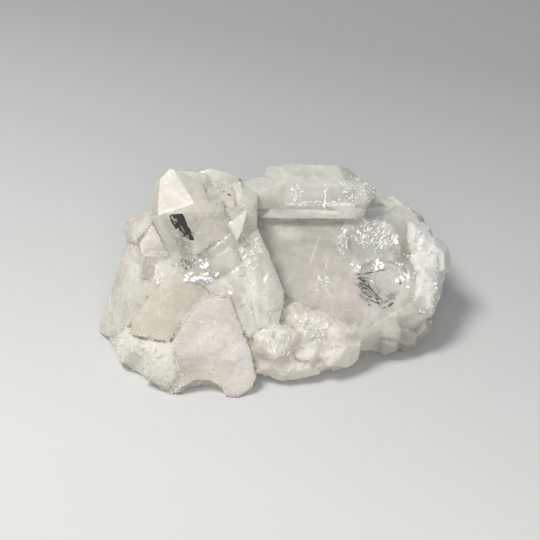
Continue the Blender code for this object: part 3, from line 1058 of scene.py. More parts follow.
@dataclass(frozen=True)
class Grains:
    """Small crystals scattered over the part of a mass that lies in an ellipsoid.

    size is the range of their widths, and sink how much of a width stands below the surface.
    shape stretches each one across, along and out of the surface, and lean is how far it tips.
    along, if given, is the direction that they nearly lie along.
    """

    centre: Point
    radii: Point
    count: int
    size: tuple[float, float]
    seed: int
    sink: float = 0.35
    shape: Point = (1, 1, 1)
    lean: float = 0.7
    along: Point | None = None

    def turned(self, up: Vector, spin: float) -> Matrix:
        """The turn of a crystal that stands along a direction.

        Args:
            up: The direction.
            spin: How far it turns round that direction, from 0 to a full turn.

        Returns:
            The turn as a matrix of four rows.
        """
        if self.along is None:
            turn = Vector((0, 0, 1)).rotation_difference(up).to_matrix().to_4x4()
            return turn @ Matrix.Rotation(spin, 4, "Z")
        side = Vector(self.along)
        side = (side - up * up.dot(side)).normalized()
        turn = Matrix((side, up.cross(side), up)).transposed().to_4x4()
        return turn @ Matrix.Rotation((spin / math.tau - 0.5) * LYING_TURN, 4, "Z")

    def holds(self, at: Vector) -> bool:
        """Whether a point is in the ellipsoid."""
        return Vector([d / r for d, r in zip(at - Vector(self.centre), self.radii)]).length < 1

    def grown(self, bm: Mesh, templates: list[bpy.types.Mesh]) -> bpy.types.Mesh:
        """Makes the crystals.

        Args:
            bm: The mesh that they stand on.
            templates: The crystals to choose from, one unit wide.

        Returns:
            A mesh of all of them.
        """
        dice = random.Random(self.seed)
        crop = bmesh.new()
        faces = [f for f in bm.faces
                 if f.normal.z > LOWEST_NORMAL and self.holds(f.calc_center_median())]
        chosen = dice.choices(faces, weights=[f.calc_area() for f in faces], k=self.count)
        for where, normal in [(f.calc_center_median(), f.normal.copy()) for f in chosen]:
            width = dice.uniform(*self.size)
            lean = Vector([dice.uniform(-self.lean, self.lean) for _ in range(3)])
            before = len(crop.verts)
            crop.from_mesh(dice.choice(templates))
            crop.verts.ensure_lookup_table()
            matrix = (Matrix.Translation(where - normal * width * self.sink)
                      @ self.turned((normal + lean).normalized(), dice.uniform(0, math.tau))
                      @ Matrix.Diagonal(Vector((*self.shape, 1))) @ Matrix.Scale(width, 4))
            bmesh.ops.transform(crop, matrix=matrix, verts=crop.verts[before:])
        return mesh_of("grains", crop)


# The small crystals: from their axis to their sides, how high they stand, and how long they are.
GRAIN_FLATS = (0.38, 0.56)
GRAIN_HEIGHTS = (0.5, 1.0)
GRAIN_LENGTH = 1.5


def grain_template(seed: int) -> bpy.types.Mesh:
    """Makes a small crystal one unit wide, standing on the origin.

    Args:
        seed: What its sizes are drawn from.

    Returns:
        Its mesh.
    """
    dice = random.Random(seed)
    flats = tuple(dice.uniform(*GRAIN_FLATS) for _ in range(SIDES))
    tip = (0, 0, dice.uniform(*GRAIN_HEIGHTS))
    roll = dice.uniform(0, 360 / SIDES)
    return mesh_of("grain", Prism(tip, (0, 0, 1), roll, flats, GRAIN_LENGTH).solid())


@dataclass(frozen=True)
class Grown:
    """A solid that is part of the cluster's one body, with its own look, wear and finish."""

    form: Form
    look: Look
    wear: Wear = Wear()
    finish: Quartz = CLOUD


# How near the skin has to be to the faces that sharpen it, as a part of the voxel's size.
SHARPEN_REACH = 0.75
# Two faces whose normals are closer than this count as one.
SAME_FACE = 0.97
# How often a point is moved to the faces that meet at its edge or corner.
SHARPEN_ROUNDS = 6
SOFT_ROUNDS = 12


@dataclass
class Body:
    """The one body that all the crystals and the base have grown into.

    voxel is the size of the skin's faces, in millimetres, and blend how far the looks spread.
    source and owners are filled in when it is built: the solids' faces, and whose they are.
    """

    name: str
    parts: tuple[Grown, ...]
    voxel: float = 0.45
    blend: int = 5
    source: BVHTree | None = None
    owners: list[int] = field(default_factory=list)

    def build(self) -> bpy.types.Object:
        """Fuses the solids in one skin, wears it and dresses it.

        Returns:
            The piece.
        """
        bm = bmesh.new()
        for k, part in enumerate(self.parts):
            solid = ordered(part.form.solid())
            bmesh.ops.triangulate(solid, faces=solid.faces)
            mesh = mesh_of("lump", solid)
            bm.from_mesh(mesh)
            self.owners += [k] * len(mesh.polygons)
            bpy.data.meshes.remove(mesh)
        self.source = BVHTree.FromBMesh(bm)
        obj = mesh_object(self.name, bm)
        remesh = obj.modifiers.new("fused", "REMESH")
        remesh.mode = "VOXEL"
        remesh.voxel_size = self.voxel
        applied(obj)
        self.sharpen(obj.data)
        self.wear_surface(obj.data)
        finishes = tuple(dict.fromkeys(part.finish for part in self.parts))
        finished(obj, *finishes)
        self.paint(obj.data, finishes)
        obj.data.shade_smooth()
        obj.data.set_sharp_from_angle(angle=SHARP_ANGLE)
        return obj

    def owner(self, at: Vector) -> Grown:
        """The part whose surface is nearest."""
        return self.parts[self.owners[self.source.find_nearest(at)[2]]]

    def sharpen(self, mesh: bpy.types.Mesh) -> None:
        """Moves the skin's points back to the faces, edges and corners that they came from.

        Args:
            mesh: The skin, in millimetres.
        """
        reach = self.voxel * SHARPEN_REACH
        for v in mesh.vertices:
            planes = []
            for at, normal, index, _ in self.source.find_nearest_range(v.co, reach):
                sharp = not self.parts[self.owners[index]].wear.soft
                if sharp and all(abs(normal.dot(other)) < SAME_FACE for _, other in planes):
                    planes.append((at, normal))
            co = v.co.copy()
            for _ in range(SHARPEN_ROUNDS if len(planes) > 1 else len(planes)):
                for at, normal in planes:
                    co += normal * normal.dot(at - co)
            move = co - v.co
            if move.length > reach:
                move *= reach / move.length
            v.co += move

    def wear_surface(self, mesh: bpy.types.Mesh) -> None:
        """Rounds the surface, and pushes it in and out.

        Args:
            mesh: The skin, in millimetres.
        """
        places = np.empty((len(mesh.vertices), 3), np.float32)
        mesh.vertices.foreach_get("co", places.ravel())
        rounded = blended(mesh, places, SOFT_ROUNDS)
        normals = [v.normal.copy() for v in mesh.vertices]
        for v, normal, round_co in zip(mesh.vertices, normals, rounded):
            wear = self.owner(v.co).wear
            push = wear.push(v.co)
            v.co = v.co.lerp(Vector(round_co), wear.soft) + normal * push

    def paint(self, mesh: bpy.types.Mesh, finishes: tuple[Quartz, ...]) -> None:
        """Gives each face its part's finish and each point its part's look, blended.

        Args:
            mesh: The skin, in metres.
            finishes: The finishes, in the order of its material slots.
        """
        looks = [self.owner(v.co / MM).look.values() for v in mesh.vertices]
        painted(mesh, blended(mesh, np.array(looks, np.float32), self.blend))
        for face in mesh.polygons:
            face.material_index = finishes.index(self.owner(face.center / MM).finish)


TEMPLATES = 6


@dataclass
class GrainCrop:
    """All the small crystals that stand on a piece."""

    name: str
    look: Look
    finish: Quartz
    grains: tuple[Grains, ...]

    def build(self, ground: bpy.types.Object) -> bpy.types.Object:
        """Stands the crystals on a piece.

        Args:
            ground: The piece, finished.

        Returns:
            One piece with all of them.
        """
        templates = [grain_template(k) for k in range(TEMPLATES)]
        bm = bmesh.new()
        bm.from_mesh(ground.data)
        bmesh.ops.scale(bm, vec=(1 / MM, 1 / MM, 1 / MM), verts=bm.verts)
        bm.normal_update()
        crops = [grains.grown(bm, templates) for grains in self.grains]
        bm.clear()
        for crop in crops:
            bm.from_mesh(crop)
        for mesh in templates + crops:
            bpy.data.meshes.remove(mesh)
        obj = finished(mesh_object(self.name, bm), self.finish)
        painted(obj.data, np.tile(self.look.values(), (len(obj.data.vertices), 1)))
        return obj


# ---------------------------------------------------------------------------------------------
# The studio


# In metres: what is nearer to the camera than CLIP_START is left out.
CLIP_START = 0.01
FLOOR_ROUGHNESS = 0.9
FLOOR_GLOSS = 0.1


@dataclass(frozen=True)
class Lamp:
    """A square area light that hangs at a place and points at the cluster."""

    name: str
    at: Point
    size: float
    power: float
    aim: Point = (0, 0, 10)
    colour: Colour = (1.0, 0.985, 0.96)

    def build(self) -> None:
        """Makes the light."""
        light = bpy.data.lights.new(self.name, "AREA")
        light.size = self.size * MM
        light.energy = self.power
        light.color = self.colour
        lamp = bpy.data.objects.new(self.name, light)
        lamp.location = Vector(self.at) * MM
        away = Vector(self.at) - Vector(self.aim)
        lamp.rotation_euler = away.to_track_quat("Z", "Y").to_euler()
        bpy.context.scene.collection.objects.link(lamp)


@dataclass(frozen=True)
class Studio:
    """The floor, the lights and the camera.

    The floor's colour goes from near to far between the two depths of fade, in metres along
    slant, as painted shade where the light falls off towards the back, and it lies just below the
    cluster. The camera looks at target from a distance, at an elevation in degrees.
    """

    target: Point = (0, 0, 15)
    distance: float = 269
    elevation: float = 40
    lens: float = 70
    floor_size: float = 3000
    floor_gap: float = 0.2
    near: Colour = (0.578, 0.578, 0.565)
    far: Colour = (0.345, 0.35, 0.35)
    slant: Point = (0.35, 1.0, 0)
    fade: tuple[float, float] = (-0.06, 0.16)
    room_colour: Colour = (0.92, 0.96, 1.0)
    room_strength: float = 0.30
    lamps: tuple[Lamp, ...] = (Lamp("key", (-300, -20, 640), 220, 4.3),
                               Lamp("fill", (0, -560, 420), 500, 2.2))

    def build(self) -> None:
        """Builds the whole studio."""
        self.floor()
        self.room()
        for lamp in self.lamps:
            lamp.build()
        self.camera()

    def floor(self) -> None:
        """Lays a pale floor whose colour darkens a little towards the back, painted shade for the
        light falling off.
        """
        bm = bmesh.new()
        bmesh.ops.create_grid(bm, x_segments=1, y_segments=1, size=self.floor_size)
        floor = mesh_object("floor", bm)
        floor.data.transform(Matrix.Scale(MM, 4))
        floor.location.z = -self.floor_gap * MM
        material = bpy.data.materials.new("pale_floor")
        material.use_nodes = True
        tree = material.node_tree
        shader = tree.nodes["Principled BSDF"].inputs
        place_at = place(tree, "ShaderNodeTexCoord").outputs["Object"]
        depth = vector_maths(tree, "DOT_PRODUCT", place_at, self.slant).outputs["Value"]
        mask = ranged(tree, depth, *self.fade)
        tree.links.new(laid_over(tree, (*self.near, 1), self.far, mask), shader["Base Color"])
        shader["Roughness"].default_value = FLOOR_ROUGHNESS
        shader["Specular IOR Level"].default_value = FLOOR_GLOSS
        floor.data.materials.append(material)

    def room(self) -> None:
        """Lights the room evenly."""
        world = bpy.data.worlds.new("room")
        bpy.context.scene.world = world
        world.use_nodes = True
        background = world.node_tree.nodes["Background"].inputs
        background["Color"].default_value = (*self.room_colour, 1)
        background["Strength"].default_value = self.room_strength

    def camera(self) -> None:
        """Sets the camera at the front, looking down."""
        camera = bpy.data.cameras.new("camera")
        camera.lens = self.lens
        camera.clip_start = CLIP_START
        eye = bpy.data.objects.new("camera", camera)
        up = math.radians(self.elevation)
        away = Vector((0, -math.cos(up), math.sin(up))) * self.distance
        eye.location = (Vector(self.target) + away) * MM
        eye.rotation_euler = away.to_track_quat("Z", "Y").to_euler()
        bpy.context.scene.collection.objects.link(eye)
        bpy.context.scene.camera = eye
        bpy.context.scene.view_settings.view_transform = "Standard"


# ---------------------------------------------------------------------------------------------
# The cluster


# How far light goes straight through the cloudier of a part's two finishes.
MILKY_TRANSMISSION = 0.38


@dataclass
class Part:
    """A group of crystals that share their finishes."""

    name: str

    def grown(self) -> tuple[Grown, ...]:
        """The solids of the part."""
        raise NotImplementedError

    def patches(self) -> tuple[Patch, ...]:
        """The patches on the part."""
        raise NotImplementedError

    def dressed(self) -> tuple[Grown, ...]:
        """Finishes the solids in clear or cloudy quartz that carries the part's patches.

        Returns:
            The solids.
        """
        clear = Quartz(f"{self.name}_quartz", patches=self.patches())
        milky = replace(clear, name=f"cloudy_{self.name}_quartz", transmission=MILKY_TRANSMISSION)
        return tuple(replace(solid, finish=milky if solid.look.milky else clear)
                     for solid in self.grown())


# The upright crystal's tip, long axis and roll, and where the cloudy mass inside it ends.
TIP = (-24.3, 6.5, 43.2)
TIP_AXIS = (-0.39, 0.33, 0.86)
TIP_ROLL = -27
TIP_HEART = (-20.5, 3.0, 33.0)
# Bright broken places where three groups of crystals meet, white broken quartz with painted glints
# on it: each of them carries these patches.
GLINTING_BREAKS = (
    Patch((-18.8, -9.6, 20.9), FACING, (2.1, 0.9, 1.8), FLAW_AND_GLINT_WHITE, rag=2.0, fade=0.1),
    Patch((-15.8, -9.5, 25.1), ((0.6, 0, 1), (1, 0, -0.6)), (1.3, 0.8, 1.8), FLAW_AND_GLINT_WHITE, rag=2.0,
          fade=0.1),
    Patch((-14.8, -10.3, 21.4), FACING, (1.7, 1.6, 1.8), FLAW_AND_GLINT_WHITE, rag=2.4, fade=0.1))


@dataclass
class UprightCrystal(Part):
    """The upright crystal at the left: a stepped prism and the pale point behind the step."""

    name: str = "upright"
    prism: Prism = Prism(
        TIP, TIP_AXIS, TIP_ROLL, (8.5, 8.7, 8.7, 8.7, 8.7, 8.7), 30, (),
        (((-20.9, -6.3, 37.7), (-0.31, 0.27, 0.91)), ((-20.9, -6.3, 37.7), (0.2, -0.01, 0.98)),
         ((-17.1, -9.7, 28.4), (0.50, -0.30, -0.81))))
    point: Prism = Prism(
        TIP, TIP_AXIS, TIP_ROLL, (8.3, 8.5, 8.5, 8.5, 8.5, 8.5), 20, (),
        (((-27.3, -2.5, 34.4), (-0.187, -0.559, 0.807)),
         ((-18.2, -1.5, 37.2), (0.317, -0.277, 0.907)),
         ((-27.3, -2.5, 34.4), (-0.927, -0.183, 0.326)),
         ((-26.9, 5.1, 39.8), (-0.726, 0.307, 0.615)), ((-23.5, 6.6, 41.5), (0.373, 0.75, 0.55)),
         ((-14.8, 0.1, 36.5), (0.9, 0.2, 0.38)), ((-24.7, 7.0, 41.5), (-0.3, 0.5, 0.79))))
    root: Block = Block((
        (-24.4, -4.9, 25.4), (-18.0, -9.0, 28.0), (-17.0, -9.5, 25.3), (-14.3, -9.6, 22.8),
        (-14.6, -11.0, 20.2), (-16.2, -11.0, 18.8), (-20.4, -9.4, 20.2), (-24.2, -7.0, 22.4),
        (-22, 0, 22), (-14, -2, 20), (-20, -3, 12)))

    def grown(self) -> tuple[Grown, ...]:
        """The solids of the crystal."""
        return (Grown(self.prism, Look((0.85, 0.818, 0.722), 0.15, flecks=0.1), CRISP),
                Grown(self.point, Look((0.86, 0.82, 0.73), 0.4, flecks=0.5), CRISP),
                Grown(self.root, Look((0.92, 0.90, 0.82), 0.08, flecks=0.3),
                      Wear(3.0, 0.15, 0.08, 0.2)))

    def patches(self) -> tuple[Patch, ...]:
        """A painted reflection of a dark thing, in black patches on one side, and what lies round
        it.
        """
        side = ((2.5, -2.4, -6.2), (3.7, -2.2, 1.3))
        grey, dark = (0.3, 0.3, 0.28), (0.1, 0.1, 0.09)
        scratch = (0.6, 0.6, 0.58)
        return (zone((-24.6, -4.5, 32.6), side, (8.0, 1.8, 1.2), (0.66, 0.635, 0.58), 0.9, 0.7),
                zone((-20.8, -7.2, 28.4), side, (6.8, 3.4, 1.2), (0.34, 0.335, 0.31), 0.8, 0.8),
                Patch((-20.6, -7.4, 28.0), side, (5.2, 2.6, 1.2), grey, rag=1.2, pattern=COARSE),
                Patch((-21.6, -6.8, 29.0), side, (5.0, 2.6, 1.2), FLAW_AND_GLINT_WHITE, strength=0.7, rag=1.2,
                      pattern=FINE),
                Patch((-20.8, -8.0, 24.4), side, (2.6, 2.4, 1.5), grey, rag=1.2, pattern=FINE),
                # Black patches: a painted reflection of a dark thing in the side.
                Patch((-22.0, -5.9, 35.2), side, (2.4, 2.6, 0.4), REFLECTED_BLACK, rag=0.5, fade=0.15,
                      square=0.6),
                Patch((-20.4, -7.1, 33.0), side, (2.9, 2.0, 0.4), REFLECTED_BLACK, fade=0.2, square=0.5),
                Patch((-19.0, -8.2, 31.9), side, (0.9, 1.0, 0.4), REFLECTED_BLACK, rag=0.5, fade=0.1,
                      square=0.8),
                Patch((-22.9, -5.2, 35.0), side, (1.6, 0.9, 0.8), scratch, strength=0.8, rag=0.8,
                      pattern=FINE),
                line((-23.8, -4.6, 36.0), (-22.9, -5.3, 34.6), 0.22, scratch),
                line((-21.6, -6.2, 34.4), (-20.4, -7.0, 32.4), 0.14, scratch, strength=0.8),
                line((-22.0, -7.0, 23.6), (-21.2, -7.6, 23.4), 0.3, dark),
                line((-20.9, -7.7, 24.7), (-20.4, -8.0, 24.1), 0.3, dark),
                line((-20.2, -9.0, 21.5), (-19.8, -9.2, 21.0), 0.25, dark),
                line((-16.9, -9.9, 23.9), (-16.1, -10.1, 23.1), 0.25, dark, strength=0.8),
                line((-17.6, -9.6, 25.0), (-17.2, -9.8, 24.6), 0.25, dark, strength=0.8),
                line((-27.6, -2.0, 34.0), (-24.2, -5.5, 24.6), 0.18, FLAW_AND_GLINT_WHITE, strength=0.7),
                *GLINTING_BREAKS)


@dataclass
class LeftSlabs(Part):
    """The tilted slabs down the left side."""

    name: str = "left"
    knob: Block = Block((
        (-36.9, 3.2, 26.4), (-35.1, 5.5, 27.9), (-29.9, 6.6, 30.3), (-28.2, 3.2, 29.9),
        (-33, -1.6, 26.3), (-36, 1.5, 23), (-33, -1.6, 25.2), (-30, 10, 22), (-26, 4, 16),
        (-35, 6, 18), (-29, -2, 18)))
    slab: Block = Block((
        (-36.2, 2.1, 22.8), (-33.2, -2.8, 23.2), (-39.8, -14, 5), (-43.8, -6.1, 3.2),
        (-44.3, -7.5, 0), (-41.6, -9.6, 0), (-26.5, -4.1, 23.3), (-27.3, -7.8, 18.3),
        (-31.9, -11.9, 12.6), (-36.2, -15, 8.1), (-30, 6, 22), (-38, 5, 5), (-28, 2, 4),
        (-30, -8, 0)))
    facets: Block = Block((
        (-32.3, -2.2, 25.6), (-28.9, 1.4, 28.7), (-25.2, -5, 24.4), (-26.9, -5.3, 23.9),
        (-31.4, -4.8, 23.9), (-29.6, -8.0, 18.7), (-32.2, -7.4, 18.8), (-29, 4, 18), (-24, 0, 14),
        (-33, 0, 16), (-30, -6, 12)))
    notch: Block = Block((
        (-26.8, -5.4, 23.8), (-24.0, -6.4, 23.2), (-23.4, -8.0, 21.0), (-29.0, -11.6, 15.8),
        (-31.0, -10.6, 15.6), (-29.4, -8.2, 18.8), (-26, 0, 18), (-30, -4, 12), (-24, -4, 14)))

    def grown(self) -> tuple[Grown, ...]:
        """The solids of the slabs."""
        pale = Look((0.90, 0.87, 0.77), 0.2, flecks=0.3)
        return (Grown(self.knob, replace(pale, tint=(0.82, 0.79, 0.71)), WORN),
                Grown(self.slab, pale, WORN),
                Grown(self.facets, replace(pale, tint=(0.70, 0.665, 0.59)), CRISP),
                Grown(self.notch, replace(pale, flecks=0.4), CRISP))

    def patches(self) -> tuple[Patch, ...]:
        """Bright spots and flecks, and painted highlights along the edges of the facets."""
        return (spot((-33.8, -1.0, 25.2), 0.8, FLAW_AND_GLINT_WHITE, rag=0.8),
                spot((-37.4, -15.0, 8.4), 0.9, FLAW_AND_GLINT_WHITE, rag=0.8),
                # Painted highlights along the edges of the facets.
                *seam(((-32.3, -2.2, 25.6), (-31.4, -4.8, 23.9), (-26.9, -5.3, 23.9)), 0.2,
                      FLAW_AND_GLINT_WHITE, strength=0.6),
                line((-31.4, -4.8, 23.9), (-32.2, -7.4, 18.8), 0.2, FLAW_AND_GLINT_WHITE, strength=0.6),
                spot((-28.8, -1.8, 26.0), 3.4, (0.88, 0.80, 0.76), strength=0.6, fade=0.6),
                Patch((-26.8, -8.2, 20.4), ((0.4, -0.6, -0.8), (1, 0, 0)), (2.6, 1.2, 1.5),
                      FLAW_AND_GLINT_WHITE, rag=1.8, pattern=COARSE),
                Patch((-35, -8, 14), ((-0.15, -0.66, -0.74), (1, 0, 0)), (13, 5, 6), FLAW_AND_GLINT_WHITE,
                      strength=0.4, rag=0.6, fine=False, fade=0.6, pattern=Pattern.STREAKS))


@dataclass
class FrontCrystals(Part):
    """The beige crystal and the pale pink one with a natural arch below it."""

    name: str = "front"
    beige: Block = Block((
        (-23.2, -8.2, 23.3), (-34.2, -16.3, 12.7), (-34.1, -18.7, 9.9), (-24.6, -19.5, 8.3),
        (-23.1, -17.7, 10.2), (-19, -14.3, 13.8), (-16.3, -13.5, 14.5), (-16, -10.3, 18.1),
        (-20.7, -8.8, 20.1), (-30, -14, 6), (-20, -13, 7), (-16, -4, 13), (-24, -3, 14)))
    pink: Block = Block((
        (-18.4, -18.1, 17.2), (-15.5, -16.2, 19.5), (-9.9, -15.7, 19.7), (-7.8, -18.7, 15.5),
        (-4.9, -23.4, 9.0), (-3.4, -27.3, 3.7), (-4.4, -28.6, 2.1), (-7.8, -30.3, 0),
        (-21.1, -29.8, 1.4), (-24.7, -29.0, 0), (-23.0, -22.5, 11.8), (-4.6, -27.5, 0),
        (-25, -12, 0), (-2, -14, 0), (-20, -8, 14), (-6, -8, 14)))
    arch: Rock = Rock((-16.8, -31.2, -1.0), (6.8, 5.0, 6.6), 6, 60, 31)

    def grown(self) -> tuple[Grown, ...]:
        """The solids of both crystals."""
        return (Grown(self.beige, Look((0.86, 0.80, 0.665), 0.2, flecks=0.05), CRISP),
                Grown(Hollowed(self.pink, (self.arch,)),
                      Look((0.91, 0.845, 0.77), 0.2, flecks=0.1), Wear(4.0, 0.12, 0.05, 0.4)))

    def patches(self) -> tuple[Patch, ...]:
        """Stained seams round both crystals, bright flaws in them, and painted shade in the arch.
        """
        beige_foot = (
            (-34.3, -16.5, 12.4), (-34.4, -18.4, 9.6), (-29.5, -19.4, 8.9), (-24.6, -19.7, 8.5),
            (-23.3, -18.2, 10.0))
        pink_top = (
            (-24.0, -20.0, 10.8), (-18.4, -17.9, 17.1), (-15.5, -16.0, 19.3), (-9.9, -15.6, 19.5),
            (-8.6, -17.2, 17.5), (-7.3, -19.3, 14.1), (-4.9, -23.4, 9.0))
        return (*GLINTING_BREAKS,
                *seam(beige_foot, 0.35, STAIN, strength=0.8),
                *seam(pink_top, 0.4, STAIN, strength=0.8, pattern=COARSE),
                # Painted shade in the hollow of the arch.
                zone((-16.8, -27.5, 4.1), FACING, (6.6, 1.5, 3.0), (0.77, 0.70, 0.59), 0.9, 0.5),
                spot((-24.1, -19.5, 8.6), 0.7, (0.05, 0.03, 0.02), rag=0.4),
                line((-27.2, -13.6, 16.2), (-22.8, -11.6, 19.2), 0.22, FLAW_AND_GLINT_WHITE, strength=0.6),
                spot((-22.4, -8.8, 21.4), 2.2, FLAW_AND_GLINT_WHITE, pattern=FINE),
                zone((-6.8, -24.6, 8.0), ((0.2, -0.75, -0.6), (1, 0, 0.3)), (6.5, 3.0, 3.0),
                     (1.0, 0.965, 0.89), 1.0, 0.7),
                line((-18.6, -19.6, 15.6), (-15.8, -19.5, 15.0), 0.25, FLAW_AND_GLINT_WHITE, strength=0.8))


@dataclass
class MiddleCrystals(Part):
    """The broken crystals in the middle, with a thin leaf of quartz standing among them."""

    name: str = "middle"
    middle: Block = Block((
        (-3.3, -1.6, 30.5), (-7.5, -5.5, 27), (-2.2, -3.2, 27), (0, -5.6, 24.4),
        (3.5, -12.3, 18.3), (3.3, -15.2, 16.3), (1.9, -19.8, 13.1), (-3.1, -20.2, 13.4),
        (-3.5, -12.5, 20.9), (-6.2, -8.8, 24.4), (0, 0, 16), (-6, -2, 16), (0, -12, 5),
        (-4, -12, 5)))
    face: Block = Block((
        (-7.1, -7.2, 25.2), (-9.6, -8.1, 23.7), (-13.7, -8.6, 22.2), (-16.2, -11, 19.1),
        (-10, -14.2, 18.4), (-9.2, -15.4, 18.2), (-7.3, -18.6, 14.6), (-4.8, -21.2, 11.4),
        (-3, -20.2, 12.2), (-3.8, -12.8, 19.8), (-14, -2, 12), (-3, -4, 12), (-4, -14, 6),
        (-14, -8, 10)))
    left: Block = Block((
        (-13.3, -5.4, 24.5), (-9, -2.6, 26.7), (-7.6, -3.6, 25.6), (-7.2, -5.2, 23.8),
        (-9.7, -6.7, 22.8), (-13.9, -6.2, 23.6), (-16, 2, 16), (-6, 2, 16), (-18, -4, 20)))
    leaf: Block = Block((
        (-9.9, -4.1, 32.6), (-5.4, -2.4, 36.4), (-6.5, -4.9, 32.0), (-8.0, -6.5, 29.6),
        (-9.6, -2.6, 32.6), (-5.4, -1.2, 36.0), (-6.2, -3.0, 31.6), (-8, -3, 26)))
    under_prism: Block = Block((
        (-16.6, -9.2, 27.0), (-8.8, -5.0, 31.0), (-18.0, -9.6, 24.0), (-15.5, -10.6, 21.5),
        (-12.5, -9.6, 22.5), (-9.0, -8.0, 24.5), (-7.4, -5.8, 27.4), (-14, 0, 20), (-8, 0, 22),
        (-14, -2, 31)))
    bridge: Block = Block((
        (-15.0, -9.4, 25.4), (-9.2, -7.0, 27.8), (-7.6, -6.4, 26.8), (-13.2, -10.6, 21.7),
        (-9.0, -9.6, 22.8), (-7.0, -8.4, 24.2), (-12, -2, 22), (-9, -2, 24)))
    behind_leaf: tuple[Rock, ...] = (
        Rock((-8.0, 1.0, 28.0), (4.6, 4.4, 5.4), 0, 16, 71),
        Rock((-10.5, -2.5, 25.5), (4.4, 4.0, 4.4), 0, 16, 72),
        Rock((-7.6, -4.6, 24.8), (2.8, 2.4, 3.0), 0, 14, 74))

    def grown(self) -> tuple[Grown, ...]:
        """The solids of the crystals."""
        bright = Look((0.97, 0.935, 0.834), 0.15, flecks=0.25)
        return (Grown(self.middle, bright, BROKEN), Grown(self.face, bright, BROKEN),
                Grown(self.left, replace(bright, tint=(0.90, 0.87, 0.79)), CRISP),
                *(Grown(form, bright, CRISP)
                  for form in (self.under_prism, self.bridge, *self.behind_leaf)),
                Grown(self.leaf, replace(bright, tint=(0.88, 0.86, 0.79), milky=True), CRISP))

    def patches(self) -> tuple[Patch, ...]:
        """Bright flaws in the crystals."""
        return (*GLINTING_BREAKS,
                spot((-3.6, -6.5, 26.0), 3.4, FLAW_AND_GLINT_WHITE, strength=0.7, pattern=COARSE),
                line((-7.2, -6.0, 26.6), (-2.6, -13.0, 20.4), 0.4, FLAW_AND_GLINT_WHITE, strength=0.7),
                spot((-11.5, -10.0, 22.0), 4.0, FLAW_AND_GLINT_WHITE, strength=0.6, pattern=FINE))


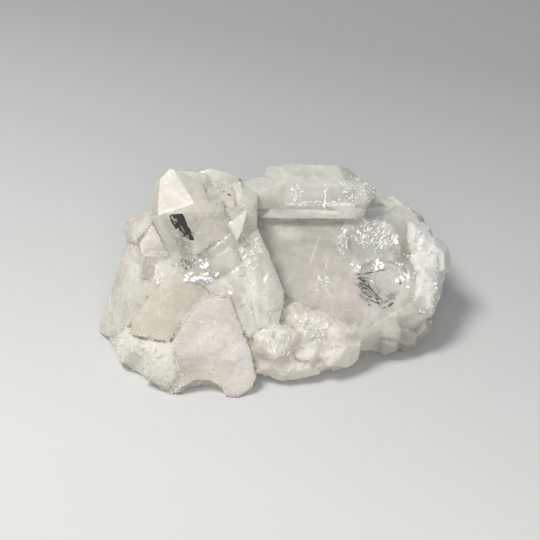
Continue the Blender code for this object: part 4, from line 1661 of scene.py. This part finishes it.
@dataclass
class BackCrystals(Part):
    """The crystals along the top, and the points that show from behind."""

    name: str = "back"
    mid_back: Block = Block((
        (-17.2, 8.6, 36.5), (-13.7, 9, 36.4), (-10.7, 8.4, 35.4), (-7.5, 9.6, 36.1),
        (-5.7, 5.6, 31.8), (-10, 2.2, 29.1), (-15.2, 5.2, 32.8), (-18, 12, 24), (-4, 12, 24),
        (-8, 0, 22)))
    white: Block = Block((
        (-17, 10.9, 37.0), (-15.6, 12.5, 36.9), (-13.9, 13.7, 36.5), (-11.1, 13.3, 35.6),
        (-9.1, 13.4, 34.9), (-7.5, 12.5, 34), (-9.6, 10.9, 34.1), (-11.9, 9.6, 34.6),
        (-14, 10, 35.8), (-18, 16, 24), (-6, 16, 24), (-12, 6, 22), (-12, 18, 32)))
    shoulder: Block = Block((
        (-23.0, 9.0, 39.7), (-19.4, 9.0, 39.3), (-15.8, 9.6, 38.3), (-14.6, 8.6, 36.4),
        (-22, 5, 36), (-17, 4, 35.2), (-16, 14, 30), (-24, 13, 30), (-19.5, 12.5, 37.0)))
    flat: Block = Block((
        (-13.4, -0.7, 36.2), (-13.2, 8.0, 36.3), (-8.8, 4.4, 34.5), (-9.0, -0.2, 33.8),
        (-9.5, 8.6, 35.5), (-11, 0, 28), (-8, 4, 28), (-12, 7, 28)))
    plate: Block = Block((
        (-17.9, 12, 37.1), (-16.8, 12, 37.5), (-15.1, 12, 38.1), (-11.1, 12, 37.1),
        (-7.6, 12, 35.5), (-8.1, 11.2, 34.4), (-10.8, 10.4, 34.3), (-14.5, 10.4, 35.6),
        (-16.9, 10.6, 36.4), (-17, 18, 30), (-8, 18, 30), (-12, 10, 28)))
    slope: Block = Block((
        (-7.4, 3.2, 34.2), (-7.0, 9.5, 34.8), (-3.6, 3.6, 31.4), (-3.0, 8.8, 32.5),
        (-3.2, 2.4, 29.8), (-8, 0, 28), (-3.5, 10, 28), (-9, 8, 28)))
    saddle: Rock = Rock((-8.6, 8.0, 30.5), (4.4, 4.6, 4.4), 0, 16, 73)
    lying: Prism = Prism(
        (27.4, 15.0, 28.8), (1, 0.03, -0.06), -24, (5.6, 6.3, 5.6, 6, 6, 5.2), 34,
        cuts=(((20, 15, 33.6), (0.5, 0.05, 0.86)), ((22, 8.5, 30), (0.6, -0.7, 0.2)),
              ((-2, 14, 32), (-0.9, 0.1, 0.42)), ((1.2, 17, 34.4), (-0.3, 0, 0.95))))
    lying_foot: Block = Block((
        (-3.5, 8.4, 25.2), (21.5, 8.8, 24.8), (-2.6, 6.7, 26.6), (20.8, 7.0, 26.2),
        (3.5, 8.0, 30.2), (21.5, 8.4, 29.8), (24.5, 9.8, 25.2), (24.8, 9.6, 28.6), (-3.5, 14, 25),
        (24, 14, 25), (3.5, 14, 30), (24, 14, 30)))
    lying_end: Rock = Rock((22.6, 12.8, 29.4), (4.2, 4.6, 4.0), 15, 26, 16)
    lying_short: Block = Block((
        (-9.4, 12.5, 33.7), (-7.4, 13.2, 34.1), (-2, 13.4, 34.6), (2.8, 13.6, 34.6),
        (3.6, 11.6, 33.5), (-2, 10.4, 32.8), (-7.6, 8.8, 32.1), (-9.6, 10.5, 33.3),
        (3.3, 9.8, 31.7), (-2, 8.9, 28.8), (-3.8, 8.4, 27.3), (-6.6, 8.6, 27.8), (-8, 16, 27),
        (2, 16, 27)))
    points: tuple[Prism, ...] = (
        Prism((9, 27, 22), (0.15, 0.75, 0.64), 12, (4.5, 4.2, 4.8, 4.5, 4.2, 4.6), 20),
        Prism((-4, 26, 25), (-0.25, 0.6, 0.75), -5, (3.2, 3.4, 3.2, 3, 3.2, 3.4), 18),
        Prism((-17, 25.5, 15), (-0.35, 0.85, 0.4), 20, (4.2, 4, 4.4, 4, 4.2, 4), 18,
              (0, 1, 0, 0, 0.5, 0)),
        Prism((27, 24.5, 17), (0.4, 0.8, 0.45), 0, (3.4, 3.8, 3.4, 3.6, 3.4, 3.8), 16))

    def grown(self) -> tuple[Grown, ...]:
        """The solids of the crystals."""
        back = Look((0.93, 0.895, 0.795), 0.25, flecks=0.25, milky=True)
        clear = Look((0.84, 0.835, 0.77), 0.08, flecks=0.2)
        return (Grown(self.mid_back, back, BROKEN), Grown(self.saddle, back, CRISP),
                Grown(self.shoulder, replace(back, tint=(0.86, 0.83, 0.74)), CRISP),
                Grown(self.flat, back, CRISP), Grown(self.slope, back, CRISP),
                Grown(self.white, replace(back, tint=(0.86, 0.84, 0.77)), CRISP),
                Grown(self.plate, replace(back, tint=(0.85, 0.84, 0.775), flecks=0.1), CRISP),
                Grown(self.lying, clear, CRISP),
                # The foot takes a brighter copy of the clear look: painted light on a side that
                # faces away from the lamps.
                Grown(self.lying_foot, replace(clear, tint=(1.0, 0.99, 0.92), milky=True), CRISP),
                Grown(self.lying_end, replace(clear, flecks=0.5), BROKEN),
                Grown(self.lying_short, clear, CRISP),
                *(Grown(point, back, CRISP) for point in self.points))

    def patches(self) -> tuple[Patch, ...]:
        """A pink zone with dark specks, and bright lines in the lying crystal: painted highlights
        along its edges, and a pale line down its front.
        """
        specks = (0.16, 0.13, 0.10)
        return (spot((-11.4, 4.0, 35.2), 3.2, (0.95, 0.83, 0.77), strength=0.8, fade=0.8),
                line((-12.0, 5.6, 36.0), (-11.1, 5.3, 35.6), 0.25, specks),
                line((-10.6, 5.0, 35.3), (-9.6, 4.8, 34.9), 0.4, specks, strength=0.9, rag=1.5),
                line((-14.5, 3.7, 36.5), (-14.0, 4.0, 36.5), 0.3, specks),
                line((-13.2, -0.3, 36.3), (-12.4, -0.2, 36.0), 0.2, specks),
                line((-11.6, -0.1, 35.6), (-10.2, 0.1, 35.0), 0.3, specks, strength=0.9, rag=1.5),
                line((13.9, 9.6, 33.6), (13.7, 8.4, 28.2), 0.25, FLAW_AND_GLINT_WHITE),
                # Painted highlights along the lying crystal's upper front edge and along the top
                # of its foot.
                line((3.0, 9.9, 34.5), (18.5, 10.4, 34.2), 0.2, FLAW_AND_GLINT_WHITE, strength=0.8),
                line((5.2, 8.0, 29.9), (19.0, 8.2, 29.7), 0.8, FLAW_AND_GLINT_WHITE, strength=0.6, fade=0.6),
                spot((6.2, 9.4, 33.0), 2.2, FLAW_AND_GLINT_WHITE, pattern=COARSE),
                spot((21.5, 13.0, 32.5), 5.5, FLAW_AND_GLINT_WHITE, strength=0.8, pattern=COARSE),
                spot((12.0, 9.5, 31.9), 4.4, (0.86, 0.78, 0.75), strength=0.7, fade=0.8))


@dataclass
class RightCrystals(Part):
    """The large pale lilac crystal and the clear one beside it, with shell-shaped breaks."""

    name: str = "right"
    large: Block = Block((
        (-3.8, 9.0, 24.9), (18.0, 9.5, 24.5), (20, 2, 22), (23.4, -16.7, 11.0),
        (18.5, -15.9, 11.6), (7.5, -11.0, 14.5), (3.2, -9.1, 15.5), (-3, -2, 19.3), (0, 20, 8),
        (30, 20, 8), (30, -5, 4), (0, -10, 4)))
    clear: Block = Block((
        (18, 9.5, 25), (28.5, 18, 25), (34.3, 16.6, 23.8), (38.4, 13.5, 22.8), (40.2, 5, 19.4),
        (37.6, -7, 15.0), (35, -11, 13.5), (29, -13.4, 11.6), (23.4, -16.7, 11), (20, 2, 22),
        (20, 20, 8), (38, 15, 6), (38, -6, 6), (24, -10, 4), (26, 4, 24)))
    shells: tuple[Shell, ...] = (
        Shell((28.5, 3.4, 20.8), (-0.05, -0.42, 0.9), 18, 0.5, 0.05, 2.2),
        Shell((30.5, -5.6, 16.6), (-0.05, -0.36, 0.93), 12, 1.5, 0.08, 1.8))

    def grown(self) -> tuple[Grown, ...]:
        """The solids of both crystals."""
        return (Grown(self.large, Look((0.77, 0.732, 0.665), 0.15, flecks=0.0),
                      Wear(6.0, 0.03, 0.02, 0.05)),
                Grown(Hollowed(self.clear, self.shells),
                      Look((0.82, 0.81, 0.745), 0.05, flecks=0.15), Wear(4.0, 0.05, 0.03, 0.1)))

    def patches(self) -> tuple[Patch, ...]:
        """Pink zones, bright lines and flecks, painted light where two places lie in shade, and
        the dark feathers in the lower break, which are a painted reflection.
        """
        flat = ((1, 0, 0), (0, 0.9, 0.45))
        dark = (0.08, 0.08, 0.08)
        # The strokes of a painted reflection of dark things in the lower break: start, end and
        # width.
        reflection_strokes = (
            ((21.4, -5.3, 17.9), (22.9, -4.9, 17.8), 0.5),
            ((22.7, -5.0, 17.6), (26.6, -2.9, 17.0), 0.35),
            ((26.4, -3.0, 17.0), (30.4, -1.9, 17.1), 0.22),
            ((22.0, -5.6, 17.4), (25.2, -4.9, 16.3), 0.22),
            ((21.5, -5.5, 17.7), (24.3, -6.9, 16.3), 0.55),
            ((24.0, -6.8, 16.4), (26.0, -8.5, 15.1), 0.45),
            ((25.9, -8.6, 15.1), (27.2, -10.5, 14.2), 0.35),
            ((22.4, -7.2, 16.8), (24.4, -7.6, 16.5), 0.3),
            ((22.7, -8.1, 16.2), (24.9, -8.6, 15.9), 0.32),
            ((22.7, -9.0, 15.7), (24.4, -9.5, 15.3), 0.28),
            ((23.9, -9.8, 15.1), (25.6, -10.5, 14.7), 0.3),
            ((24.4, -10.6, 14.6), (26.1, -11.4, 14.1), 0.28),
            ((24.2, -11.6, 14.0), (25.1, -12.3, 13.5), 0.35),
            ((25.9, -10.1, 15.0), (27.1, -11.2, 14.2), 0.4),
            ((26.1, -11.2, 14.2), (27.9, -12.0, 13.7), 0.45),
            ((29.6, -8.7, 15.8), (31.4, -8.3, 16.1), 0.45),
            ((29.9, -9.4, 15.4), (31.1, -9.1, 15.6), 0.4),
            ((28.9, -12.5, 13.4), (30.9, -11.2, 14.2), 0.55),
            ((28.4, -11.6, 14.0), (29.4, -10.7, 14.5), 0.3),
            ((27.6, -12.9, 13.1), (28.9, -12.3, 13.5), 0.25),
            ((32.4, -5.8, 15.4), (33.2, -5.6, 15.2), 0.4))
        reflection_smudge = (0.3, 0.31, 0.29)
        # The smoky zones under the strokes are part of the same painted reflection.
        return (Patch((24.4, -8.0, 15.8), ((5.2, -5.6, -3.3), (0.8, 0.8, 0)), (5.4, 2.6, 3.0),
                      reflection_smudge, strength=0.8, rag=1.8, fade=0.9),
                Patch((30.2, -9.6, 14.3), ((3, 3, 1), (0.8, -0.8, 0)), (3.4, 1.6, 3.0), reflection_smudge,
                      strength=0.8, rag=1.8, fade=0.9),
                zone((33.5, 2.0, 19.0), ((0, 1, 0.3), (1, 0, 0)), (10.0, 4.6, 4.0),
                     (0.43, 0.44, 0.385), 0.9, 0.8),
                # Painted light on the clear crystal's top, where the lying crystal casts its
                # shadow.
                zone((28.6, 13.0, 24.6), ((1, 0, 0), (0, 1, 0)), (6.5, 4.6, 3.0),
                     (1.0, 0.975, 0.93), 1.0, 0.6),
                line((27.6, 15.8, 24.9), (31.4, 14.2, 24.4), 0.25, (0.3, 0.29, 0.27),
                     strength=0.7, rag=1.5),
                line((29.0, 15.0, 24.7), (33.0, 12.9, 24.0), 0.2, (0.35, 0.34, 0.32),
                     strength=0.6, rag=1.5),
                # Painted light along the large crystal's left edge, where the middle crystals
                # shade it.
                zone((-1.4, 0.6, 21.0), ((0, 0.9, 0.45), (1, 0, 0)), (10.0, 3.8, 4.0),
                     (0.93, 0.885, 0.82), 0.9, 0.9),
                zone((5.0, 4.8, 22.7), flat, (5.5, 2.6, 4.0), (0.88, 0.84, 0.77), 0.9, 0.9),
                zone((17.5, -11.0, 15.0), flat, (7.0, 7.0, 4.0), (0.86, 0.77, 0.74), 0.5, 0.9),
                zone((21.0, -9.0, 15.8), flat, (5.0, 6.0, 4.0), (0.88, 0.77, 0.75), 0.5, 0.8),
                zone((23.4, -1.6, 19.2), flat, (3.4, 2.8, 3.0), (0.86, 0.75, 0.73), 0.6, 0.8),
                zone((30.2, -5.2, 15.2), flat, (3.6, 3.6, 3.0), (0.74, 0.75, 0.71), 0.6, 0.8),
                line((13.0, 5.2, 23.2), (9.5, -4.1, 18.6), 0.16, FLAW_AND_GLINT_WHITE, strength=0.85),
                line((14.9, -0.1, 20.6), (13.3, -5.9, 17.4), 0.16, FLAW_AND_GLINT_WHITE, strength=0.8),
                spot((12.0, -7.0, 16.8), 1.8, FLAW_AND_GLINT_WHITE, pattern=FINE),
                line((12.8, -7.4, 16.6), (16.0, -11.0, 14.6), 0.5, FLAW_AND_GLINT_WHITE, strength=0.5),
                Patch((17.4, 2.4, 22.0), flat, (1.6, 5.0, 4.0), FLAW_AND_GLINT_WHITE, strength=0.9,
                      pattern=FINE),
                Patch((26.0, 5.4, 21.5), ((1, 0.25, 0.1), (0, 0.8, 0.5)), (6.0, 3.8, 5.0),
                      FLAW_AND_GLINT_WHITE, fade=0.4, pattern=COARSE),
                *seam(((17.5, 3.4, 22.4), (18.7, 6.6, 23.8), (20.2, 8.6, 24.9)), 0.2, FLAW_AND_GLINT_WHITE,
                      strength=0.6),
                line((24.7, 8.8, 24.3), (25.7, 7.0, 22.5), 0.35, FLAW_AND_GLINT_WHITE),
                line((26.0, 2.2, 19.8), (31.2, 4.6, 21.4), 0.25, FLAW_AND_GLINT_WHITE, strength=0.9),
                spot((21.4, -3.4, 18.9), 1.5, FLAW_AND_GLINT_WHITE, pattern=COARSE),
                # The strokes and their streaks, dark as the painted reflection.
                *(line(start, end, wide * 0.75, dark, strength=0.9, rag=1.8, fade=0.5)
                  for start, end, wide in reflection_strokes),
                Patch((25.0, -9.0, 15.2), ((5.5, -5.5, -3.0), (0.8, 0.8, 0)), (6.0, 3.6, 3.0),
                      dark, strength=0.85, fade=0.6, pattern=Pattern.STREAKS))


@dataclass
class Base(Part):
    """The rough quartz that everything grows from."""

    name: str = "base"
    core: tuple[Rock, ...] = (
        Rock((2, 3, 7), (37, 19, 10), 6, 40, 1), Rock((-25, 0, 9), (15, 15, 11), -20, 34, 2),
        Rock((-8, 15, 12), (16, 10, 13), 10, 34, 3), Rock((18, 15, 11), (19, 10, 12), -8, 36, 4),
        Rock((9, -12, 5), (16, 12, 7), -10, 32, 5))
    lobes: tuple[Form, ...] = (
        Block(((-42.0, -8, 4.2), (-41.0, -12.0, 0.8), (-38.2, -17.6, 0.6), (-35.9, -20.4, 0.5),
               (-30.0, -25.0, 0.5), (-26.0, -28.2, 0.5), (-23.4, -29.2, 0), (-21.8, -28.4, 0),
               (-36.5, -15.6, 7.9), (-34.4, -18.4, 8.6), (-25, -19.8, 7.2), (-22.8, -18.4, 8.6),
               (-40.5, -11, 6.2), (-30, -8, 8), (-24, -12, 8), (-36, -8, 0), (-24, -14, 0),
               (-30, -22.5, 7.0))),
        Rock((-33.0, -17.4, 4.2), (5.0, 4.6, 4.4), 28, 14, 6),
        Rock((-25.6, -24.0, 3.6), (5.0, 4.6, 4.2), 10, 14, 7))
    nubs: tuple[Rock, ...] = (
        Rock((1.2, -20.2, 8.2), (5.8, 4.8, 5.8), 0, 14, 8),
        Rock((4.5, -21.7, 3.4), (8.5, 4.8, 3.8), 4, 16, 9),
        Rock((9.4, -18.0, 8.4), (4.6, 4.2, 4.6), 12, 14, 10),
        Rock((8.8, -20.6, 6.2), (5.2, 3.6, 4.4), 0, 14, 76),
        Rock((15.6, -19.2, 5.0), (6.0, 5.0, 5.0), -8, 14, 11))
    crumbs: tuple[Rock, ...] = (
        Rock((5.6, -13.4, 11.0), (3.6, 3.2, 3.4), 0, 12, 62),
        Rock((10.5, -15.2, 10.2), (4.0, 3.0, 3.4), 20, 12, 63),
        Rock((16.0, -17.2, 8.4), (4.2, 3.0, 3.2), -14, 12, 64))
    rim: tuple[Rock, ...] = (
        Rock((38.2, 8.0, 17.6), (4.4, 6.4, 5.4), 20, 16, 12),
        Rock((40.0, 2.4, 14.0), (5.2, 7.6, 6.8), -12, 18, 13),
        Rock((38.4, -6.6, 10.2), (4.0, 5.4, 5.0), 0, 16, 14),
        Rock((39.6, 5.0, 16.2), (4.4, 6.4, 6.0), 10, 18, 41),
        Rock((39.6, -2.8, 12.4), (4.4, 6.2, 6.2), 0, 18, 42))
    rim_end: Rock = Rock((41.9, 2.6, 16.0), (4.3, 4.4, 4.6), 12, 14, 77)
    crest: Rock = Rock((30, 15.5, 19), (10, 6, 6), -10, 18, 15)
    ledge: tuple[Block, ...] = (
        Block(((3.2, -14.3, 13.2), (7.4, -12.8, 13.5), (18.5, -15.9, 10.6), (24.2, -17, 10.2),
               (21.6, -18.2, 7.6), (17, -20, 6), (7.4, -20.3, 7.9), (0, -20, 9), (22, -16, 1),
               (4, -22, 0), (24, -14, 0), (24, -10, 6), (2, -6, 0), (6, -8, 10))),
        Block(((24.0, -16.2, 10.9), (29, -14.6, 12.2), (33, -12.4, 13.3), (38, -9.6, 14.8),
               (39.5, -11.5, 12), (38.8, -13.4, 10.2), (27.4, -16.4, 9), (23.8, -17, 6),
               (39, -12, 3), (24, -16, 1), (36, 0, 0), (22, -4, 0), (30, -9, 9), (36, -6, 12))))
    facets: tuple[Rock, ...] = (
        Rock((22.0, -16.8, 7.4), (4.4, 2.6, 3.8), 0, 12, 65),
        Rock((28.0, -15.0, 8.0), (5.6, 1.8, 3.2), -10, 12, 66),
        Rock((35.6, -12.0, 9.2), (5.0, 2.0, 3.4), 24, 12, 67))
    foot: tuple[Rock, ...] = (
        Rock((25.4, -16.2, 4.2), (3.2, 1.9, 2.4), 0, 12, 68),
        Rock((29.8, -15.6, 4.3), (3.2, 2.0, 2.6), 8, 12, 69),
        Rock((34.4, -14.1, 4.8), (3.2, 2.2, 3.0), 14, 12, 70),
        Rock((38.6, -11.9, 6.2), (2.8, 2.2, 3.2), 30, 12, 75))
    step: Block = Block((
        (39.1, -12.3, 9), (41.6, -11, 6.5), (40.4, -13.4, 4.8), (33.6, -15.5, 2.6),
        (31.8, -14.8, 7.2), (28, -17.1, 2.4), (27.4, -15.2, 8.6), (38.6, -12.4, 1.4),
        (32, -14, 0), (22, -16, 0), (38, -2, 0), (26, -4, 0)))

    def grown(self) -> tuple[Grown, ...]:
        """The solids of the base."""
        rough = Look((0.9, 0.856, 0.747), 0.4, 0.25, 0.2, True)
        sugary = Look((1.0, 0.97, 0.835), 0.45, 0.05, 0.1, True)
        smooth = Look((0.74, 0.70, 0.635), 0.35, milky=True)
        nub = Look((0.95, 0.895, 0.80), 0.12, flecks=0.2, milky=True)
        rim = Look((1.0, 0.965, 0.90), 0.3, 0.0, 0.25, True)
        return (*(Grown(rock, rough, Wear(3.0, 0.4, 0.15, 0.3)) for rock in self.core),
                Grown(self.crest, Look((0.90, 0.885, 0.81), 0.15), BROKEN),
                *(Grown(lobe, sugary, Wear(1.2, 0.28, 0.12, 0.3, 0.15)) for lobe in self.lobes),
                *(Grown(rock, nub, Wear(2.2, 0.3, 0.08, 0.2, 0.15))
                  for rock in self.nubs + self.crumbs),
                *(Grown(rock, rim, Wear(2.2, 0.22, 0.12, 0.4, 0.2)) for rock in self.rim),
                Grown(self.rim_end, replace(rim, tint=(1.0, 0.985, 0.92)), CRISP),
                *(Grown(form, smooth, SMOOTH) for form in self.ledge + self.facets),
                # The step and the small crystals of the foot take a darker copy of the ledge's
                # look: painted shade on the low side that faces down, away from the lamps.
                *(Grown(form, replace(smooth, tint=(0.56, 0.535, 0.475)), CRISP)
                  for form in (self.step, *self.foot)))

    def patches(self) -> tuple[Patch, ...]:
        """Bright flecks in the small crystals along the foot, and painted highlights along two
        edges of one of them.
        """
        round_nub = (
            (-4.2, -22.4, 10.2), (-3.4, -20.2, 12.2), (-0.5, -19.7, 13.5), (3.2, -21.2, 13.2),
            (4.8, -23.4, 11.0))
        beige_foot = ((-34.4, -18.4, 9.4), (-29.5, -19.4, 8.7), (-24.6, -19.7, 8.3))
        inlet = ((4.9, -17.2, 12.8), (6.2, -19.8, 11.4), (5.2, -22.6, 8.8), (6.6, -24.4, 6.2))
        crease = (0.52, 0.48, 0.42)
        return (*seam(inlet, 0.3, crease, strength=0.7, rag=1.2),
                spot((3.4, -17.6, 12.6), 2.6, (0.88, 0.80, 0.64), strength=0.6, fade=0.8),
                zone((10.0, -16.0, 12.6), FACING, (7.0, 4.5, 4.0), (0.90, 0.83, 0.69), 0.4, 0.9),
                *seam(round_nub, 0.4, STAIN, strength=0.3, pattern=COARSE),
                *seam(beige_foot, 0.35, STAIN, strength=0.8),
                spot((1.5, -22.8, 12.4), 3.6, FLAW_AND_GLINT_WHITE, strength=0.6, pattern=COARSE),
                spot((10.2, -19.0, 12.4), 3.4, FLAW_AND_GLINT_WHITE, pattern=COARSE),
                # Painted highlights along two edges of a small crystal.
                line((15.4, -21.0, 9.9), (15.6, -23.1, 7.9), 0.35, FLAW_AND_GLINT_WHITE),
                line((15.4, -23.1, 7.9), (13.4, -23.4, 7.4), 0.35, FLAW_AND_GLINT_WHITE),
                spot((-17.0, -10.4, 23.6), 4.0, FLAW_AND_GLINT_WHITE, strength=0.7, pattern=FINE))

    def heart(self) -> tuple[Grown, ...]:
        """The cloudy masses inside, which show through the clear crystals."""
        cloud = Look((0.95, 0.925, 0.854), 0.5)
        wear = Wear(2.4, 0.5, 0.3, 0.6)
        forms = (
            Rock((28, 0, 5), (10, 11, 7), 0, 20, 51), Rock((11, 2, 8), (12, 10, 8), 0, 20, 52),
            Prism((-21.8, 4.4, 37.5), TIP_AXIS, TIP_ROLL, (5.0,) * 6, 26, (),
                  ((TIP_HEART, TIP_AXIS),)),
            Rock((8, 15, 28), (13, 3.2, 3.0), 2, 20, 54),
            Rock((-14, -15, 5), (7, 7, 6), 0, 20, 55), Rock((-3, -6, 12), (3.5, 7, 7), 0, 20, 56),
            Rock((-28, -1, 11), (6, 6, 8), 0, 20, 57), Rock((-12, 10, 24), (5, 4, 8), 0, 20, 58))
        return tuple(Grown(form, cloud, wear) for form in forms)

    def flakes(self) -> GrainCrop:
        """The bright flakes of broken places."""
        def cluster(centre: Point, radii: Point, count: int, seed: int, largest: float = 0.8,
                    shape: Point = (1.7, 0.34, 0.14), along: Point | None = None) -> Grains:
            """One cluster of flakes."""
            return Grains(centre, radii, count, (0.25, largest), seed, 0.05, shape, 0.5, along)

        broad = (1.3, 0.8, 0.25)
        thin = (2.6, 0.22, 0.12)
        return GrainCrop("bright_flakes", Look((0.99, 0.99, 0.97), 0.1, flecks=0.0), FLAKE, (
            cluster((27.6, 5.4, 22.0), (4.4, 4.2, 4.5), 80, 81, 1.0, thin, (0.6, 0.65, 0.5)),
            cluster((23.4, 6.2, 22.8), (2.6, 3.4, 3.5), 36, 98, 0.9, thin, (0.5, -0.75, -0.5)),
            cluster((24.6, 5.0, 22.0), (4.0, 3.4, 3.5), 30, 99, 0.6),
            cluster((18.6, 3.4, 22.2), (1.2, 4.6, 3.5), 24, 82, 0.7, thin, (0.25, 0.75, 0.6)),
            cluster((28.0, -1.0, 17.5), (5.0, 2.0, 3.0), 10, 83),
            cluster((27.4, -1.3, 17.7), (1.5, 1.1, 1.2), 14, 100, 1.3, broad),
            cluster((21.4, -3.6, 18.8), (1.1, 1.2, 1.2), 8, 101, 0.9, broad),
            cluster((25.9, -5.4, 16.2), (0.5, 0.6, 0.8), 3, 102, 0.8, broad),
            cluster((33.5, -2.0, 17.0), (3.0, 8.0, 5.0), 9, 84, 0.8, thin, (0.5, -0.7, -0.5)),
            cluster((-16.5, -9.5, 23.5), (3.5, 4.0, 3.0), 20, 85),
            cluster((-18.8, -9.6, 20.9), (2.4, 1.6, 1.2), 14, 93, 1.4, broad),
            cluster((-15.8, -9.5, 25.1), (1.2, 1.4, 1.4), 8, 94, 1.4, broad),
            cluster((-14.8, -10.3, 21.6), (2.0, 1.6, 2.0), 14, 95, 1.5, broad),
            cluster((-27.0, -7.8, 20.5), (1.6, 3.0, 3.0), 24, 86, 1.0),
            cluster((-4.5, -6.5, 26.0), (2.5, 4.5, 4.0), 40, 87),
            cluster((6.4, 9.0, 32.8), (1.8, 2.0, 2.2), 26, 88),
            cluster((13.9, 9.2, 31.0), (0.3, 3.0, 3.4), 20, 96, 1.0, thin, (0, -0.5, -1)),
            cluster((12.0, 8.2, 29.8), (8.0, 1.5, 0.6), 36, 97, 0.9, thin, (1, 0, 0)),
            cluster((21.5, 12.0, 31.5), (5.0, 5.0, 4.0), 80, 89),
            cluster((2.0, -22.0, 11.0), (4.5, 4.0, 4.0), 36, 90, 1.0, thin, (0.2, 0.6, 0.6)),
            cluster((10.0, -18.5, 11.5), (5.0, 4.0, 4.0), 60, 91),
            cluster((13.0, -7.5, 16.5), (2.0, 3.0, 2.0), 16, 92)))

    def grains(self) -> GrainCrop:
        """The small crystals on the base."""
        return GrainCrop("small_crystals", Look((1.0, 0.955, 0.83), 0.3), CLOUD, (
            Grains((-31, -21, 3), (13, 12, 8), 300, (0.4, 0.8), 21),
            Grains((-31, -23, 4), (10, 9, 6), 120, (0.25, 0.6), 22),
            Grains((40, 0, 13), (8, 14, 12), 160, (0.5, 1.0), 23),
            Grains((0, 26, 10), (40, 10, 16), 400, (1.0, 2.4), 25)))


def main() -> None:
    """Builds the cluster and the studio around it."""
    logging.basicConfig(level=logging.INFO, format="%(message)s")
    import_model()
    Studio().build()
    base = Base()
    parts = (base, UprightCrystal(), LeftSlabs(), FrontCrystals(), MiddleCrystals(),
             BackCrystals(), RightCrystals())
    body = Body("cluster_body", tuple(solid for part in parts for solid in part.dressed())).build()
    Body("inner_clouds", base.heart(), 0.6).build()
    base.grains().build(body)
    base.flakes().build(body)


if __name__ == "__main__":
    main()
